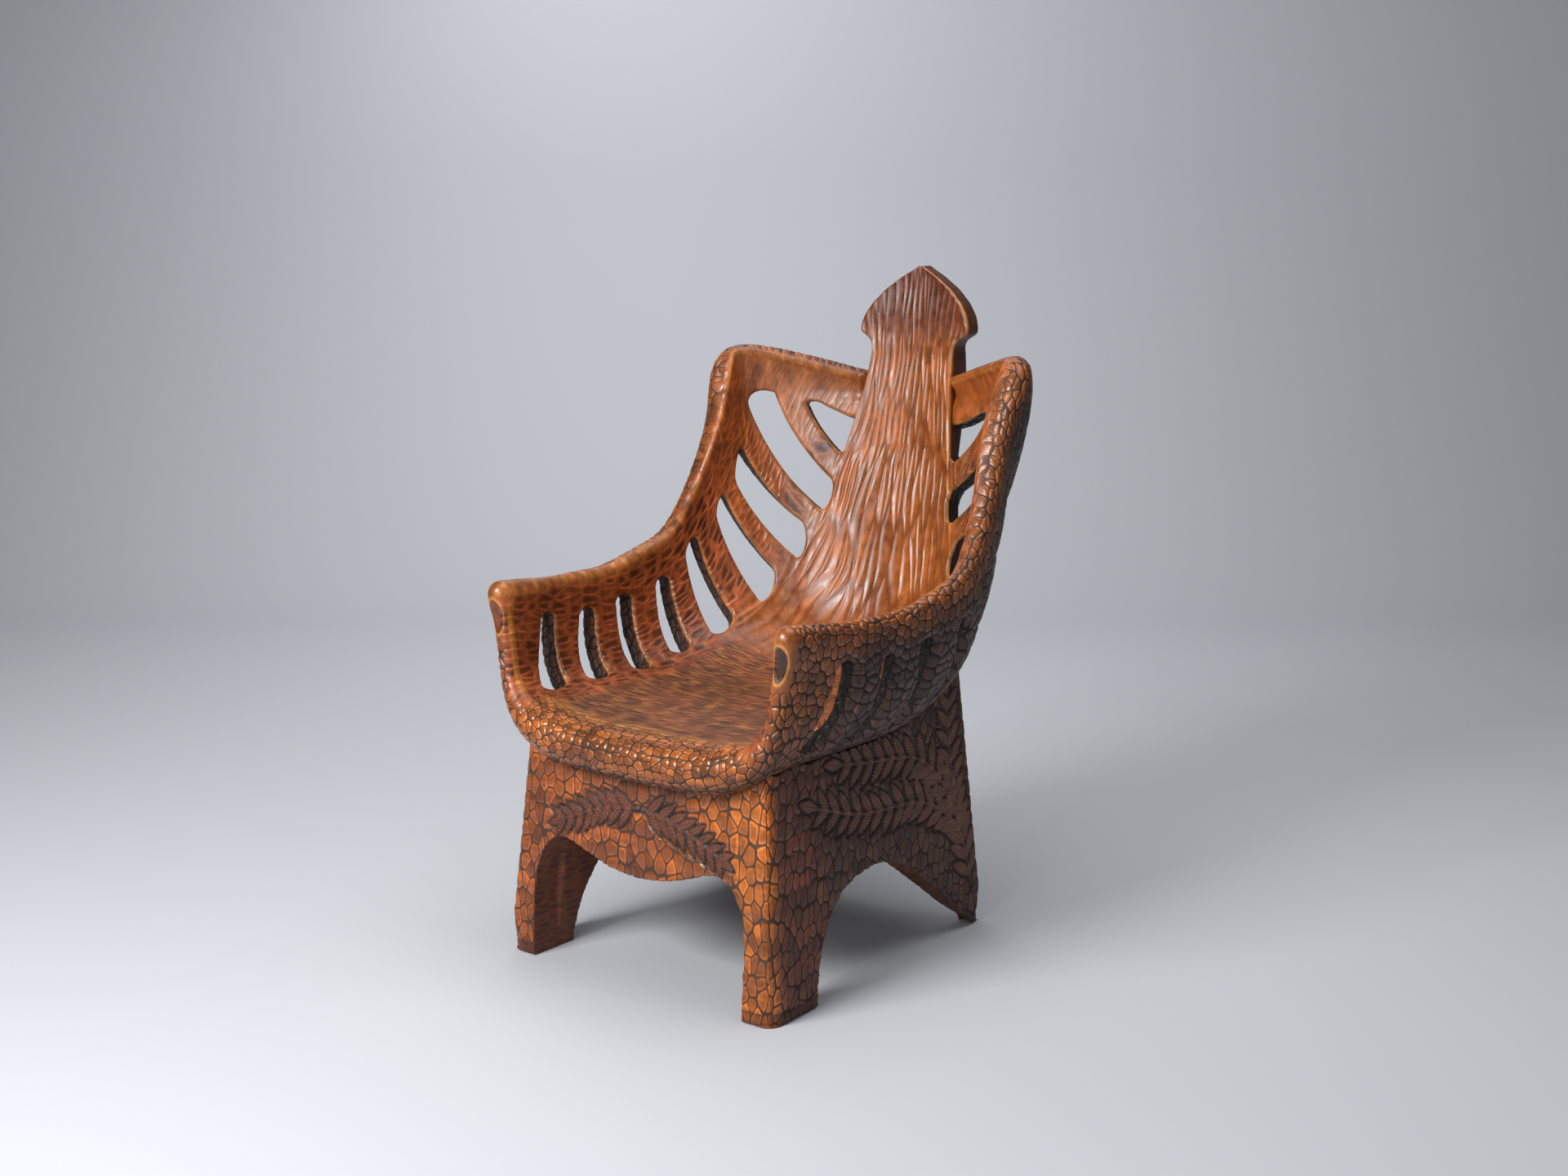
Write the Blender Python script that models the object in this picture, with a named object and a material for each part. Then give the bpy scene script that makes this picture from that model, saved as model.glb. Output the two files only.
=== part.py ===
"""Carved tub armchair of glued-up boards: a pierced, coopered tub on a box base of four arched boards.

Metres, +Z up. The chair faces -Y and the sitter's left hand is +X. While modelling, Y is counted from the
middle of the base; at the end everything moves back so that the origin is at the bottom centre of the box.

The tub is one thick shell around a middle surface. Station s runs from the arms' front ends (0) to the neck
of the back (10), and share t runs from the seat's and back's centre line (0) out and up to the rail (1).
Slots pierce the shell, and upright seams part it into boards, which dowels hold together.
"""
import bmesh
import bpy
import numpy as np
from mathutils import Matrix, Vector

# Main sizes: the tub's width and depth between the middles of its rails, the seat's middle above the floor,
# how far the highest rail rises above that, and where the front is.
TUB_WIDTH = 0.630
TUB_DEPTH = 0.752
SEAT_HEIGHT = 0.364
TUB_RISE = 0.556
TUB_FRONT_Y = -0.283

# Middle of the rail, one point for each station, as shares: out from the centre of half the width, back from
# the front of the depth, up from the seat of the rise.
RAIL_SHARES = [
    (0.9238, 0.0080, 0.3939),
    (0.9683, 0.1556, 0.3849),
    (0.9841, 0.2779, 0.3831),
    (0.9937, 0.3670, 0.3885),
    (1.0000, 0.5000, 0.4299),
    (0.9810, 0.5824, 0.4910),
    (0.9492, 0.6636, 0.6583),
    (0.9302, 0.7221, 0.8597),
    (0.9492, 0.7726, 0.9964),
    (0.7302, 0.8657, 1.0000),
    (0.1270, 1.0027, 0.9047),
]
# Middle of the seat and back on the centre line, at the same stations: back, up.
SPINE_SHARES = [
    (0.0000, 0.0000),
    (0.1410, 0.0090),
    (0.2832, 0.0108),
    (0.4388, 0.0054),
    (0.5745, 0.0144),
    (0.7101, 0.0558),
    (0.8098, 0.1817),
    (0.8644, 0.3489),
    (0.8963, 0.5162),
    (0.9455, 0.7338),
    (1.0000, 0.8615),
]
LAST_STATION = len(RAIL_SHARES) - 1

# How square the tub's cross-section is: a superellipse's power at the seat and at the back.
SEAT_SQUARENESS = 3.6
BACK_SQUARENESS = 2.0
BEND_STATIONS = (1.5, 6.0)

# Thicknesses of the shell.
ROLL_THICKNESS = 0.073
SEAT_THICKNESS = 0.056
ARM_THICKNESS = 0.031
BACK_THICKNESS = 0.036
RAIL_SWELL = 0.014
ROLL_REACH = 0.95
ROLL_SHARES = (0.36, 0.74)
SWELL_STATIONS = (5.0, 8.0)
# The arms' front ends: a waist below the top, and a knob at the top.
ARM_END_REACH = 1.2
ARM_WAIST = 0.010
ARM_WAIST_SHARE = 0.80
ARM_KNOB = 0.012

# Slots: foot station, foot width, top station, top width, foot share, top share. Widths are in stations.
SLOTS = [
    (0.74, 0.60, 0.92, 0.38, 0.590, 0.910),
    (1.74, 0.50, 1.95, 0.46, 0.580, 0.897),
    (2.70, 0.40, 3.07, 0.44, 0.565, 0.905),
    (3.71, 0.46, 4.08, 0.42, 0.565, 0.888),
    (4.77, 0.62, 5.15, 0.42, 0.540, 0.908),
    (5.88, 0.60, 6.07, 0.36, 0.460, 0.850),
    (6.93, 0.66, 6.89, 0.56, 0.365, 0.812),
    (8.02, 0.54, 8.38, 0.64, 0.292, 0.842),
    (9.02, 0.66, 9.08, 0.18, 0.318, 0.725),
]
SLOT_ROUNDING = 0.034
# How far each slot flares outwards at its front and at its rear, in stations, and where that fades out.
SLOT_FLARES = (0.03, 0.15)
FLARE_STATIONS = (4.5, 6.5)
# How square the rail's inner edge is at the back: 1 is round, 0 is square.
RAIL_ROUNDNESS = 0.40
ROUNDNESS_STATIONS = (6.2, 7.6)

# Splat and finial: greatest half-width, dish of the middle behind the front edges, and thickness. The shares
# at each station: up from the seat of the tub's rise, half-width, back of the tub's depth, dish, thickness.
SPLAT_HALF_WIDTH = 0.134
SPLAT_DISH = 0.024
SPLAT_THICKNESS = 0.056
SPLAT_SHARES = [
    (0.3525, 1.0000, 0.8351, 0.5000, 0.2500),
    (0.4964, 1.0000, 0.8577, 0.7500, 0.3214),
    (0.6043, 0.9478, 0.8723, 1.0000, 0.3929),
    (0.7122, 0.8582, 0.8923, 0.8750, 0.5714),
    (0.8471, 0.7463, 0.9189, 0.6250, 0.8929),
    (0.9640, 0.6716, 0.9415, 0.4583, 1.0000),
    (1.0360, 0.6455, 0.9548, 0.3750, 0.8929),
    (1.0647, 0.6567, 0.9574, 0.3333, 0.7679),
    (1.0827, 0.7090, 0.9588, 0.3333, 0.6786),
    (1.0935, 0.7836, 0.9588, 0.3333, 0.6786),
    (1.0989, 0.8537, 0.9588, 0.3333, 0.6786),
    (1.1223, 0.8552, 0.9614, 0.3333, 0.6786),
    (1.1547, 0.8134, 0.9654, 0.2917, 0.6786),
    (1.1942, 0.7015, 0.9721, 0.2500, 0.6607),
    (1.2374, 0.5149, 0.9787, 0.2083, 0.6250),
    (1.2770, 0.2761, 0.9854, 0.1250, 0.5714),
    (1.3094, 0.0299, 0.9907, 0.0417, 0.5179),
]

# Seams between the tub's boards, out from the centre or as shares of half the width and of the depth, and the
# gap that a glue line leaves.
SEAT_SEAM_X = 0.080
BACK_SEAM_X = 0.135
WALL_SEAM_SHARE = 0.7238
ARM_SEAM_SHARE = 0.4016
BACK_SEAM_SHARE = 0.6489
WALL_SEAM_X = TUB_WIDTH / 2.0 * WALL_SEAM_SHARE
ARM_SEAM_Y = TUB_FRONT_Y + TUB_DEPTH * ARM_SEAM_SHARE
BACK_SEAM_Y = TUB_FRONT_Y + TUB_DEPTH * BACK_SEAM_SHARE
GLUE_GAP = 0.0003

# Base: how far its outer faces at the floor stand before the tub's front, behind the seam below its back and
# inside the rails, how far each leans inwards for each metre of height, board thickness, and the blanks' height
# above the seat.
FRONT_FOOT_REACH = 0.016
REAR_FOOT_REACH = 0.1030272
FOOT_INSET = 0.036
FRONT_FOOT_Y = TUB_FRONT_Y - FRONT_FOOT_REACH
REAR_FOOT_Y = BACK_SEAM_Y + REAR_FOOT_REACH
FOOT_X = TUB_WIDTH / 2.0 - FOOT_INSET
FRONT_LEAN = 0.0735
REAR_LEAN = 0.068
SIDE_LEAN = 0.085
SIDE_TAPER = 0.0346
BASE_THICKNESS = 0.058
BLANK_ALLOWANCE = 0.136
BASE_BLANK_HEIGHT = SEAT_HEIGHT + BLANK_ALLOWANCE

# Lower edges of the base boards: widths of the feet, heights of the arches, and outlines as shares of both.
# Front and rear: out from the centre, up. Side: back from the front foot, up.
FRONT_FOOT_WIDTH = 0.062
REAR_FOOT_WIDTH = 0.057
SIDE_FRONT_FOOT = 0.117
SIDE_REAR_FOOT = 0.040
FRONT_ARCH_HEIGHT = 0.208
REAR_ARCH_HEIGHT = 0.182
SIDE_ARCH_HEIGHT = 0.175
FRONT_ARCH = [
    (1.000, 0.0), (1.005, 0.433), (0.968, 0.769), (0.848, 0.957),
    (0.691, 1.0), (0.461, 0.923), (0.230, 0.861), (0.0, 0.841),
]
REAR_ARCH = [(1.0, 0.0), (0.955, 0.440), (0.793, 0.769), (0.473, 0.945), (0.0, 1.0)]
SIDE_ARCH = [
    (0.0, 0.0), (0.036, 0.423), (0.138, 0.817), (0.276, 0.977),
    (0.416, 1.0), (0.538, 0.909), (0.682, 0.663), (1.0, 0.0),
]
# How much wider the side arches are on the boards' inner faces.
SIDE_ARCH_SPLAY = 1.10
ARCH_STEPS = 3

# Dowels, and where they sit: shares, stations or distances from the centre.
DOWEL_DIAMETER = 0.010
DOWEL_LENGTH = 0.044
SHORT_DOWEL_LENGTH = 0.032
DOWEL_CLEARANCE = 0.0003
DOWEL_END_CLEARANCE = 0.0006
DOWEL_SIDES = 8
SEAT_DOWEL_STATIONS = (1.1, 3.2)
RAIL_DOWEL_SHARE = 0.95
SIDE_RAIL_DOWEL_SHARE = 0.93
BACK_RAIL_DOWEL_SHARE = 0.88
FAN_DOWEL_STATION = 6.0
SEAT_BACK_DOWEL_X = 0.042
SEAT_CORNER_DOWEL_INSET = 0.048
FRONT_BASE_DOWEL_INSET = 0.119
REAR_BASE_DOWEL_INSET = 0.094
SIDE_BASE_DOWELS_Y = (-0.095, 0.100)
SIDE_BASE_DOWEL_INSET = 0.014
FRONT_MITRE_DOWEL_HEIGHT = 0.055
FRONT_MITRE_DOWEL_DROP = 0.114
REAR_MITRE_DOWEL_HEIGHT = 0.130
REAR_MITRE_DOWEL_DROP = 0.064

# Mesh density.
FAN_ROWS = (0.0, 0.40, 0.65, 0.84, 1.0)
SLOT_ROWS = (0.14, 0.30, 0.50, 0.75)
RAIL_ROWS = (0.5, 1.0)
SLOT_COLUMNS = (0.0, 0.2, 0.5, 0.8, 1.0)
ROUND_ANGLES = (45.0, 90.0, 135.0)
CURVE_SAMPLES = 121
SHARP_ANGLE = np.radians(38.0)

WOOD = (0.30, 0.115, 0.040, 1.0)
WOOD_ROUGHNESS = 0.42
DOWEL_WOOD = (0.52, 0.36, 0.20, 1.0)


def smooth_step(value, low, high):
    """0 below low, 1 above high, and an even S between."""
    share = np.clip((np.asarray(value, float) - low) / (high - low), 0.0, 1.0)
    return share * share * (3.0 - 2.0 * share)


def mix(first, second, share):
    return first + (second - first) * share


def spline(points, at):
    """Natural cubic spline through points at whole-number stations, read at the stations in at."""
    points = np.asarray(points, float)
    count = len(points)
    system = np.eye(count)
    bends = np.zeros_like(points)
    for i in range(1, count - 1):
        system[i, i - 1:i + 2] = (1.0, 4.0, 1.0)
        bends[i] = 6.0 * (points[i - 1] - 2.0 * points[i] + points[i + 1])
    bends = np.linalg.solve(system, bends)
    at = np.asarray(at, float)
    first = np.clip(np.floor(at).astype(int), 0, count - 2)
    after = (at - first)[..., None]
    before = 1.0 - after
    straight = before * points[first] + after * points[first + 1]
    curve = (before ** 3 - before) * bends[first] + (after ** 3 - after) * bends[first + 1]
    return straight + curve / 6.0


def rail_line():
    """Middle of the rail on the sitter's left, one point for each station."""
    corner = np.array((0.0, TUB_FRONT_Y, SEAT_HEIGHT))
    return corner + np.array(RAIL_SHARES) * (TUB_WIDTH / 2.0, TUB_DEPTH, TUB_RISE)


def spine_line():
    """Middle of the seat and back on the centre line, one point for each station: depth, height."""
    return np.array((TUB_FRONT_Y, SEAT_HEIGHT)) + np.array(SPINE_SHARES) * (TUB_DEPTH, TUB_RISE)


def middle(s, t):
    """Points of the shell's middle surface on the sitter's left, for arrays of station and share."""
    s, t = np.broadcast_arrays(np.asarray(s, float), np.asarray(t, float))
    rail = spline(rail_line(), s)
    spine = spline(spine_line(), s)
    up = rail[..., 1:] - spine
    height = np.linalg.norm(up, axis=-1, keepdims=True)
    power = mix(SEAT_SQUARENESS, BACK_SQUARENESS, smooth_step(s, *BEND_STATIONS))[..., None]
    turn = np.linspace(0.0, np.pi / 2.0, CURVE_SAMPLES)
    out = rail[..., :1] * np.sin(turn) ** (2.0 / power)
    rise = height * (1.0 - np.clip(np.cos(turn), 0.0, 1.0) ** (2.0 / power))
    steps = np.hypot(np.diff(out, axis=-1), np.diff(rise, axis=-1))
    arc = np.concatenate([np.zeros_like(out[..., :1]), np.cumsum(steps, axis=-1)], axis=-1)
    arc /= arc[..., -1:]
    result = np.empty(s.shape + (3,))
    for place in np.ndindex(s.shape):
        rise_here = np.interp(t[place], arc[place], rise[place])
        result[place][0] = np.interp(t[place], arc[place], out[place])
        result[place][1:] = spine[place] + up[place] / height[place] * rise_here
    waist = smooth_step(t, 0.5, ARM_WAIST_SHARE) * (1.0 - smooth_step(t, ARM_WAIST_SHARE, 1.0))
    result[..., 0] -= ARM_WAIST * waist * (1.0 - smooth_step(s, 0.0, ARM_END_REACH))
    return result


def directions(s, t, step=1e-3):
    """Unit vectors of the middle surface: along s, along t, and the normal into the tub."""
    along = middle(np.minimum(s + step, LAST_STATION), t) - middle(np.maximum(s - step, 0.0), t)
    across = middle(s, np.minimum(t + step, 1.0)) - middle(s, np.maximum(t - step, 0.0))
    across[np.asarray(t) == 0.0] = (1.0, 0.0, 0.0)
    normal = np.cross(across, along)
    return [v / np.linalg.norm(v, axis=-1, keepdims=True) for v in (along, across, normal)]


def thickness(s, t):
    """Thickness of the shell: a fat roll in front, a stout seat, thin walls, a rail that swells behind."""
    bend = smooth_step(s, *BEND_STATIONS)
    wall = mix(ARM_THICKNESS, BACK_THICKNESS, bend)
    wall = wall + RAIL_SWELL * smooth_step(t, 0.75, 1.0) * smooth_step(s, *SWELL_STATIONS)
    knob = ARM_KNOB * smooth_step(t, 0.88, 1.0) * (1.0 - smooth_step(s, 0.0, ARM_END_REACH))
    seat = mix(SEAT_THICKNESS, BACK_THICKNESS, smooth_step(s, 3.0, 7.0))
    plain = mix(seat, wall, smooth_step(t, 0.38, 0.70))
    roll = mix(ROLL_THICKNESS, ARM_THICKNESS, smooth_step(t, *ROLL_SHARES))
    return mix(roll, plain, smooth_step(s, 0.0, ROLL_REACH)) + knob


def slot_columns():
    """Columns of the shell's grid: foot station, top station, foot share, top share, slot or None, flare.

    The slot's number is set where the cell between a column and the next one lies in a slot.
    """
    columns = []
    before = (0.0, 0.0)
    for number, (foot, foot_width, top, top_width, low, high) in enumerate(SLOTS):
        left = (foot - foot_width / 2.0, top - top_width / 2.0)
        edge = (low + SLOT_ROUNDING, high - SLOT_ROUNDING)
        if number == 0:
            columns.append((0.0, 0.0) + edge + (None, 0.0))
        columns.append((mix(before[0], left[0], 0.5), mix(before[1], left[1], 0.5), None, None, None, 0.0))
        for share in SLOT_COLUMNS:
            round_off = SLOT_ROUNDING * np.sqrt(1.0 - (2.0 * share - 1.0) ** 2)
            inside = number if share < 1.0 else None
            place = (left[0] + share * foot_width, left[1] + share * top_width)
            flare = mix(-SLOT_FLARES[0], SLOT_FLARES[1], share)
            columns.append(place + (edge[0] - round_off, edge[1] + round_off, inside, flare))
        before = (left[0] + foot_width, left[1] + top_width)
    halfway = (mix(before[0], LAST_STATION, 0.5), mix(before[1], LAST_STATION, 0.5))
    columns.append(halfway + columns[-1][2:4] + (None, 0.0))
    columns.append((LAST_STATION, LAST_STATION) + columns[-1][2:4] + (None, 0.0))
    # A column in the middle of a rib takes its shares from the slots on both sides.
    for i, column in enumerate(columns):
        if column[2] is None:
            shares = [mix(columns[i - 1][k], columns[i + 1][k], 0.5) for k in (2, 3)]
            columns[i] = column[:2] + tuple(shares) + (None, 0.0)
    return columns


def shell_grid(columns):
    """Stations and shares of the grid's points, one row of the arrays for each column of the shell."""
    stations, shares = [], []
    for foot, top, low, high, _, _ in columns:
        rows = [low * row for row in FAN_ROWS]
        rows += [mix(low, high, row) for row in SLOT_ROWS] + [high]
        rows += [mix(high, 1.0, row) for row in RAIL_ROWS]
        rise = [np.clip((row - low) / (high - low), 0.0, 1.0) for row in rows]
        stations.append([mix(foot, top, share) for share in rise])
        shares.append(rows)
    return np.array(stations), np.array(shares)


def outer_stations(columns, s, t):
    """Stations of the outer skin's points, where the slots are wider than on the inside."""
    low, high, flare = (np.array([column[k] for column in columns])[:, None] for k in (2, 3, 5))
    beside = smooth_step(t, 0.75 * low, low) * (1.0 - smooth_step(t, high, 1.0))
    return s + flare * beside * (1.0 - smooth_step(s, *FLARE_STATIONS))


def mirrored(points, side):
    return points * np.array((side, 1.0, 1.0))


def add_quad(mesh, corners):
    """Two triangles that share the first and the third corner. Corners that fall together leave one out."""
    for triangle in (corners[:3], corners[2:] + corners[:1]):
        if len(set(triangle)) == 3:
            mesh.faces.new(triangle)


def outer_skin(columns, s, t, clearance=0.0):
    """Points of the shell's outer skin, or a clearance outside it."""
    s = outer_stations(columns, s, t)
    normal = directions(s, t)[2]
    return middle(s, t) - normal * (thickness(s, t)[..., None] / 2.0 + clearance)


def tub_mesh():
    """The whole pierced shell as one closed bmesh."""
    columns = slot_columns()
    s, t = shell_grid(columns)
    centre = middle(s, t)
    along, across, normal = directions(s, t)
    half = thickness(s, t)[..., None] / 2.0
    outside = outer_skin(columns, s, t)
    last_column = len(columns) - 1
    last_row = s.shape[1] - 1
    first_slot_row = len(FAN_ROWS) - 1
    last_slot_row = first_slot_row + len(SLOT_ROWS) + 1
    mesh = bmesh.new()
    found = {}

    def vertex(key, column, row, offset, side):
        """The vertex at an offset from a grid point, made once. Both halves share the centre line."""
        if row == 0:
            side = 1
        full = (key, column, row, side)
        if full not in found:
            point = centre[column, row] + half[column, row] * offset
            point[0] *= 0.0 if row == 0 else side
            found[full] = mesh.verts.new(point)
        return found[full]

    def skin(layer, column, row, side):
        offset = normal[column, row]
        if layer == "out":
            offset = (outside[column, row] - centre[column, row]) / half[column, row]
        return vertex(layer, column, row, offset, side)

    def rounded(edge, column, row, outward, side):
        """Vertices round an edge, from the inside skin to the outside one."""
        line = [skin("in", column, row, side)]
        crisp = mix(1.0, RAIL_ROUNDNESS, smooth_step(s[column, row], *ROUNDNESS_STATIONS))
        for angle in np.radians(ROUND_ANGLES):
            inwards, upwards = np.cos(angle), np.sin(angle)
            if inwards > 1e-9:
                inwards, upwards = inwards ** crisp, upwards ** crisp
            offset = inwards * normal[column, row] + upwards * outward
            line.append(vertex((edge, angle), column, row, offset, side))
        return line + [skin("out", column, row, side)]

    def strip(first, second):
        for i in range(len(first) - 1):
            add_quad(mesh, [first[i], second[i], second[i + 1], first[i + 1]])

    def wall(ends, side):
        """A wall through the shell between two grid points."""
        inside, outside = ([skin(layer, c, r, side) for c, r in ends] for layer in ("in", "out"))
        add_quad(mesh, inside + outside[::-1])

    def pierced(column):
        return columns[column][4] is not None

    for side in (1, -1):
        for c in range(last_column):
            for r in range(last_row):
                if pierced(c) and first_slot_row <= r < last_slot_row:
                    continue
                for layer in ("in", "out"):
                    cell = ((c, r), (c, r + 1), (c + 1, r + 1), (c + 1, r))
                    add_quad(mesh, [skin(layer, i, j, side) for i, j in cell])
        # Walls of the slots.
        for c in filter(pierced, range(last_column)):
            for r in (first_slot_row, last_slot_row):
                wall(((c, r), (c + 1, r)), side)
            for edge, beyond in ((c, c - 1), (c + 1, c + 1)):
                if not pierced(beyond):
                    for r in range(first_slot_row, last_slot_row):
                        wall(((edge, r), (edge, r + 1)), side)
        # Rounded top of the rail, and rounded front of the seat and the arms.
        tops = [rounded("top", c, last_row, across[c, last_row], side) for c in range(last_column + 1)]
        fronts = [rounded("front", 0, r, -along[0, r], side) for r in range(last_row + 1)]
        between = across[0, last_row] - along[0, last_row]
        corner = rounded("corner", 0, last_row, between / np.linalg.norm(between), side)
        for lines in (tops, fronts, [fronts[-1], corner, tops[0]]):
            for here, there in zip(lines[:-1], lines[1:]):
                strip(here, there)
        # Flat end behind the neck.
        for r in range(last_row):
            wall(((last_column, r), (last_column, r + 1)), side)
        mesh.faces.new(tops[-1])
    bmesh.ops.recalc_face_normals(mesh, faces=mesh.faces[:])
    return mesh


def cut(mesh, point, normal):
    """Cuts away what lies beyond the plane, and closes the cut."""
    geometry = mesh.verts[:] + mesh.edges[:] + mesh.faces[:]
    made = bmesh.ops.bisect_plane(
        mesh, geom=geometry, dist=1e-7, plane_co=point, plane_no=normal, clear_outer=True
    )
    edges = [e for e in made["geom_cut"] if isinstance(e, bmesh.types.BMEdge) and e.is_boundary]
    bmesh.ops.edgeloop_fill(mesh, edges=edges)
    bmesh.ops.recalc_face_normals(mesh, faces=mesh.faces[:])


def box_of(mesh, low, high):
    """The part of the mesh between two corners, half a glue line inside them. None leaves a side open."""
    piece = mesh.copy()
    for axis in range(3):
        for limit, sign in ((low[axis], -1.0), (high[axis], 1.0)):
            if limit is None:
                continue
            point, normal = Vector(), Vector()
            point[axis] = limit - sign * GLUE_GAP / 2.0
            normal[axis] = sign
            cut(piece, point, normal)
    return piece


def new_object(name, mesh, colour=WOOD):
    """An object that takes over the bmesh, with its own material."""
    data = bpy.data.meshes.new(name)
    mesh.to_mesh(data)
    mesh.free()
    material = bpy.data.materials.new(name + "_wood")
    material.use_nodes = True
    shader = material.node_tree.nodes["Principled BSDF"]
    shader.inputs["Base Color"].default_value = colour
    shader.inputs["Roughness"].default_value = WOOD_ROUGHNESS
    shader.inputs["Metallic"].default_value = 0.0
    data.materials.append(material)
    obj = bpy.data.objects.new(name, data)
    bpy.context.scene.collection.objects.link(obj)
    return obj


def combine(obj, mesh, operation):
    """Joins the closed bmesh to the object, or cuts it away."""
    tool = new_object(obj.name + "_tool", mesh)
    modifier = obj.modifiers.new(operation.lower(), "BOOLEAN")
    modifier.operation = operation
    modifier.object = tool
    graph = bpy.context.evaluated_depsgraph_get()
    old = obj.data
    obj.data = bpy.data.meshes.new_from_object(obj.evaluated_get(graph))
    obj.data.name = obj.name
    obj.modifiers.clear()
    bpy.data.meshes.remove(old)
    material = tool.data.materials[0]
    bpy.data.meshes.remove(tool.data)
    bpy.data.materials.remove(material)


def loft(sections):
    """A closed bmesh through closed sections of equal length. Its diagonals are the same on both sides."""
    mesh = bmesh.new()
    rings = [[mesh.verts.new(point) for point in section] for section in sections]
    count = len(rings[0])
    for here, there in zip(rings[:-1], rings[1:]):
        for i in range(count):
            corners = [here[i - 1], here[i], there[i], there[i - 1]]
            if i <= count // 2:
                corners = [here[i], here[i - 1], there[i - 1], there[i]]
            add_quad(mesh, corners)
    mesh.faces.new(rings[0])
    mesh.faces.new(rings[-1])
    bmesh.ops.recalc_face_normals(mesh, faces=mesh.faces[:])
    return mesh


def splat_mesh():
    """The fan's proud middle, its neck and the spade-shaped finial."""
    columns = np.array((-1.0, -0.67, -0.33, 0.0, 0.33, 0.67, 1.0))
    sections = []
    for up, width, back, dish, depth in SPLAT_SHARES:
        height = SEAT_HEIGHT + TUB_RISE * up
        edge = TUB_FRONT_Y + TUB_DEPTH * back
        hollow = SPLAT_DISH * dish
        front = [(x * width * SPLAT_HALF_WIDTH, edge + hollow * (1.0 - x * x), height) for x in columns]
        back = [(x, y + SPLAT_THICKNESS * depth, z) for x, y, z in front[::-1]]
        sections.append(front + back)
    return loft(sections)


def hull_mesh():
    """The tub's outside, a glue line bigger and closed across the rails, to scribe the base boards to."""
    columns = slot_columns()
    s, t = shell_grid(columns)
    outside = outer_skin(columns, s, t, GLUE_GAP)
    first_s, first_t = s[0], t[0]
    along, _, normal = directions(first_s, first_t)
    reach = thickness(first_s, first_t)[..., None] / 2.0 + GLUE_GAP

    def both_sides(half):
        half[0, 0] = 0.0
        return np.concatenate([mirrored(half[:0:-1], -1.0), half])

    def nose(angle):
        offset = -np.cos(angle) * normal - np.sin(angle) * along
        return both_sides(middle(first_s, first_t) + reach * offset)

    sections = [nose(np.radians(180.0 - angle)) for angle in ROUND_ANGLES[1:]]
    return loft(sections + [both_sides(points) for points in outside])


def front_y(z):
    return FRONT_FOOT_Y + FRONT_LEAN * z


def rear_y(z):
    return REAR_FOOT_Y - REAR_LEAN * z


def side_x(y, z):
    return FOOT_X - SIDE_LEAN * z - SIDE_TAPER * (y - FRONT_FOOT_Y)


def through(points):
    """A smooth curve through an outline's points."""
    count = (len(points) - 1) * ARCH_STEPS + 1
    return [tuple(p) for p in spline(points, np.linspace(0.0, len(points) - 1, count))]


def board(outline, outer, inner):
    """A closed bmesh between an outline on a board's outer face and the same outline on its inner face."""
    return loft([[outer(u, z) for u, z in outline], [inner(u, z) for u, z in outline]])


def corner_edge(front, side, z, depth):
    """A point of a corner's mitre: depth 0 is on the outer edge and depth 1 on the inner one."""
    inwards = BASE_THICKNESS if front else -BASE_THICKNESS
    y = (front_y(z) if front else rear_y(z)) + inwards * depth
    return Vector((side * (side_x(y, z) - BASE_THICKNESS * depth), y, z))


def corner_plane(front, side):
    """Point and normal of the upright mitre at a corner, the normal pointing to the side board."""
    foot = corner_edge(front, side, 0.0, 0.0)
    rise = corner_edge(front, side, BASE_BLANK_HEIGHT, 0.0) - foot
    normal = rise.cross(corner_edge(front, side, 0.0, 1.0) - foot).normalized()
    if normal.y * (1.0 if front else -1.0) < 0.0:
        normal.negate()
    return foot, normal


def sized(shares, span, rise):
    """An outline's points from shares of its span and its rise."""
    return [(u * span, z * rise) for u, z in shares]


def cross_board(name, arch, face_y, inwards):
    """The front or rear board of the base, mitred at both ends."""
    lower = through(arch + [(-u, z) for u, z in arch[-2::-1]])
    reach = FOOT_X + BASE_THICKNESS
    outline = [(-reach, 0.0), (-reach, BASE_BLANK_HEIGHT), (reach, BASE_BLANK_HEIGHT), (reach, 0.0)] + lower
    mesh = board(outline, lambda u, z: (u, face_y(z), z), lambda u, z: (u, face_y(z) + inwards, z))
    for side in (1, -1):
        foot, normal = corner_plane(inwards > 0.0, side)
        cut(mesh, foot - normal * GLUE_GAP / 2.0, normal)
    return new_object(name, mesh)


def side_board(name, side):
    """A side board of the base, mitred at both ends."""
    reach = BASE_THICKNESS
    front, rear = FRONT_FOOT_Y - reach, REAR_FOOT_Y + reach
    blank = [(rear, 0.0), (rear, BASE_BLANK_HEIGHT), (front, BASE_BLANK_HEIGHT), (front, 0.0)]
    first, last = FRONT_FOOT_Y + SIDE_FRONT_FOOT, REAR_FOOT_Y - SIDE_REAR_FOOT
    outline = blank + through([(mix(first, last, u), z * SIDE_ARCH_HEIGHT) for u, z in SIDE_ARCH])
    arch_middle = mix(first, last, 0.5)

    def inner_face(u, z):
        y = arch_middle + (u - arch_middle) * SIDE_ARCH_SPLAY
        return side * (side_x(y, z) - BASE_THICKNESS), y, z

    mesh = board(
        outline,
        lambda u, z: (side * side_x(u, z), u, z),
        inner_face,
    )
    for at_front in (True, False):
        foot, normal = corner_plane(at_front, side)
        cut(mesh, foot + normal * GLUE_GAP / 2.0, -normal)
    return new_object(name, mesh)


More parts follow.
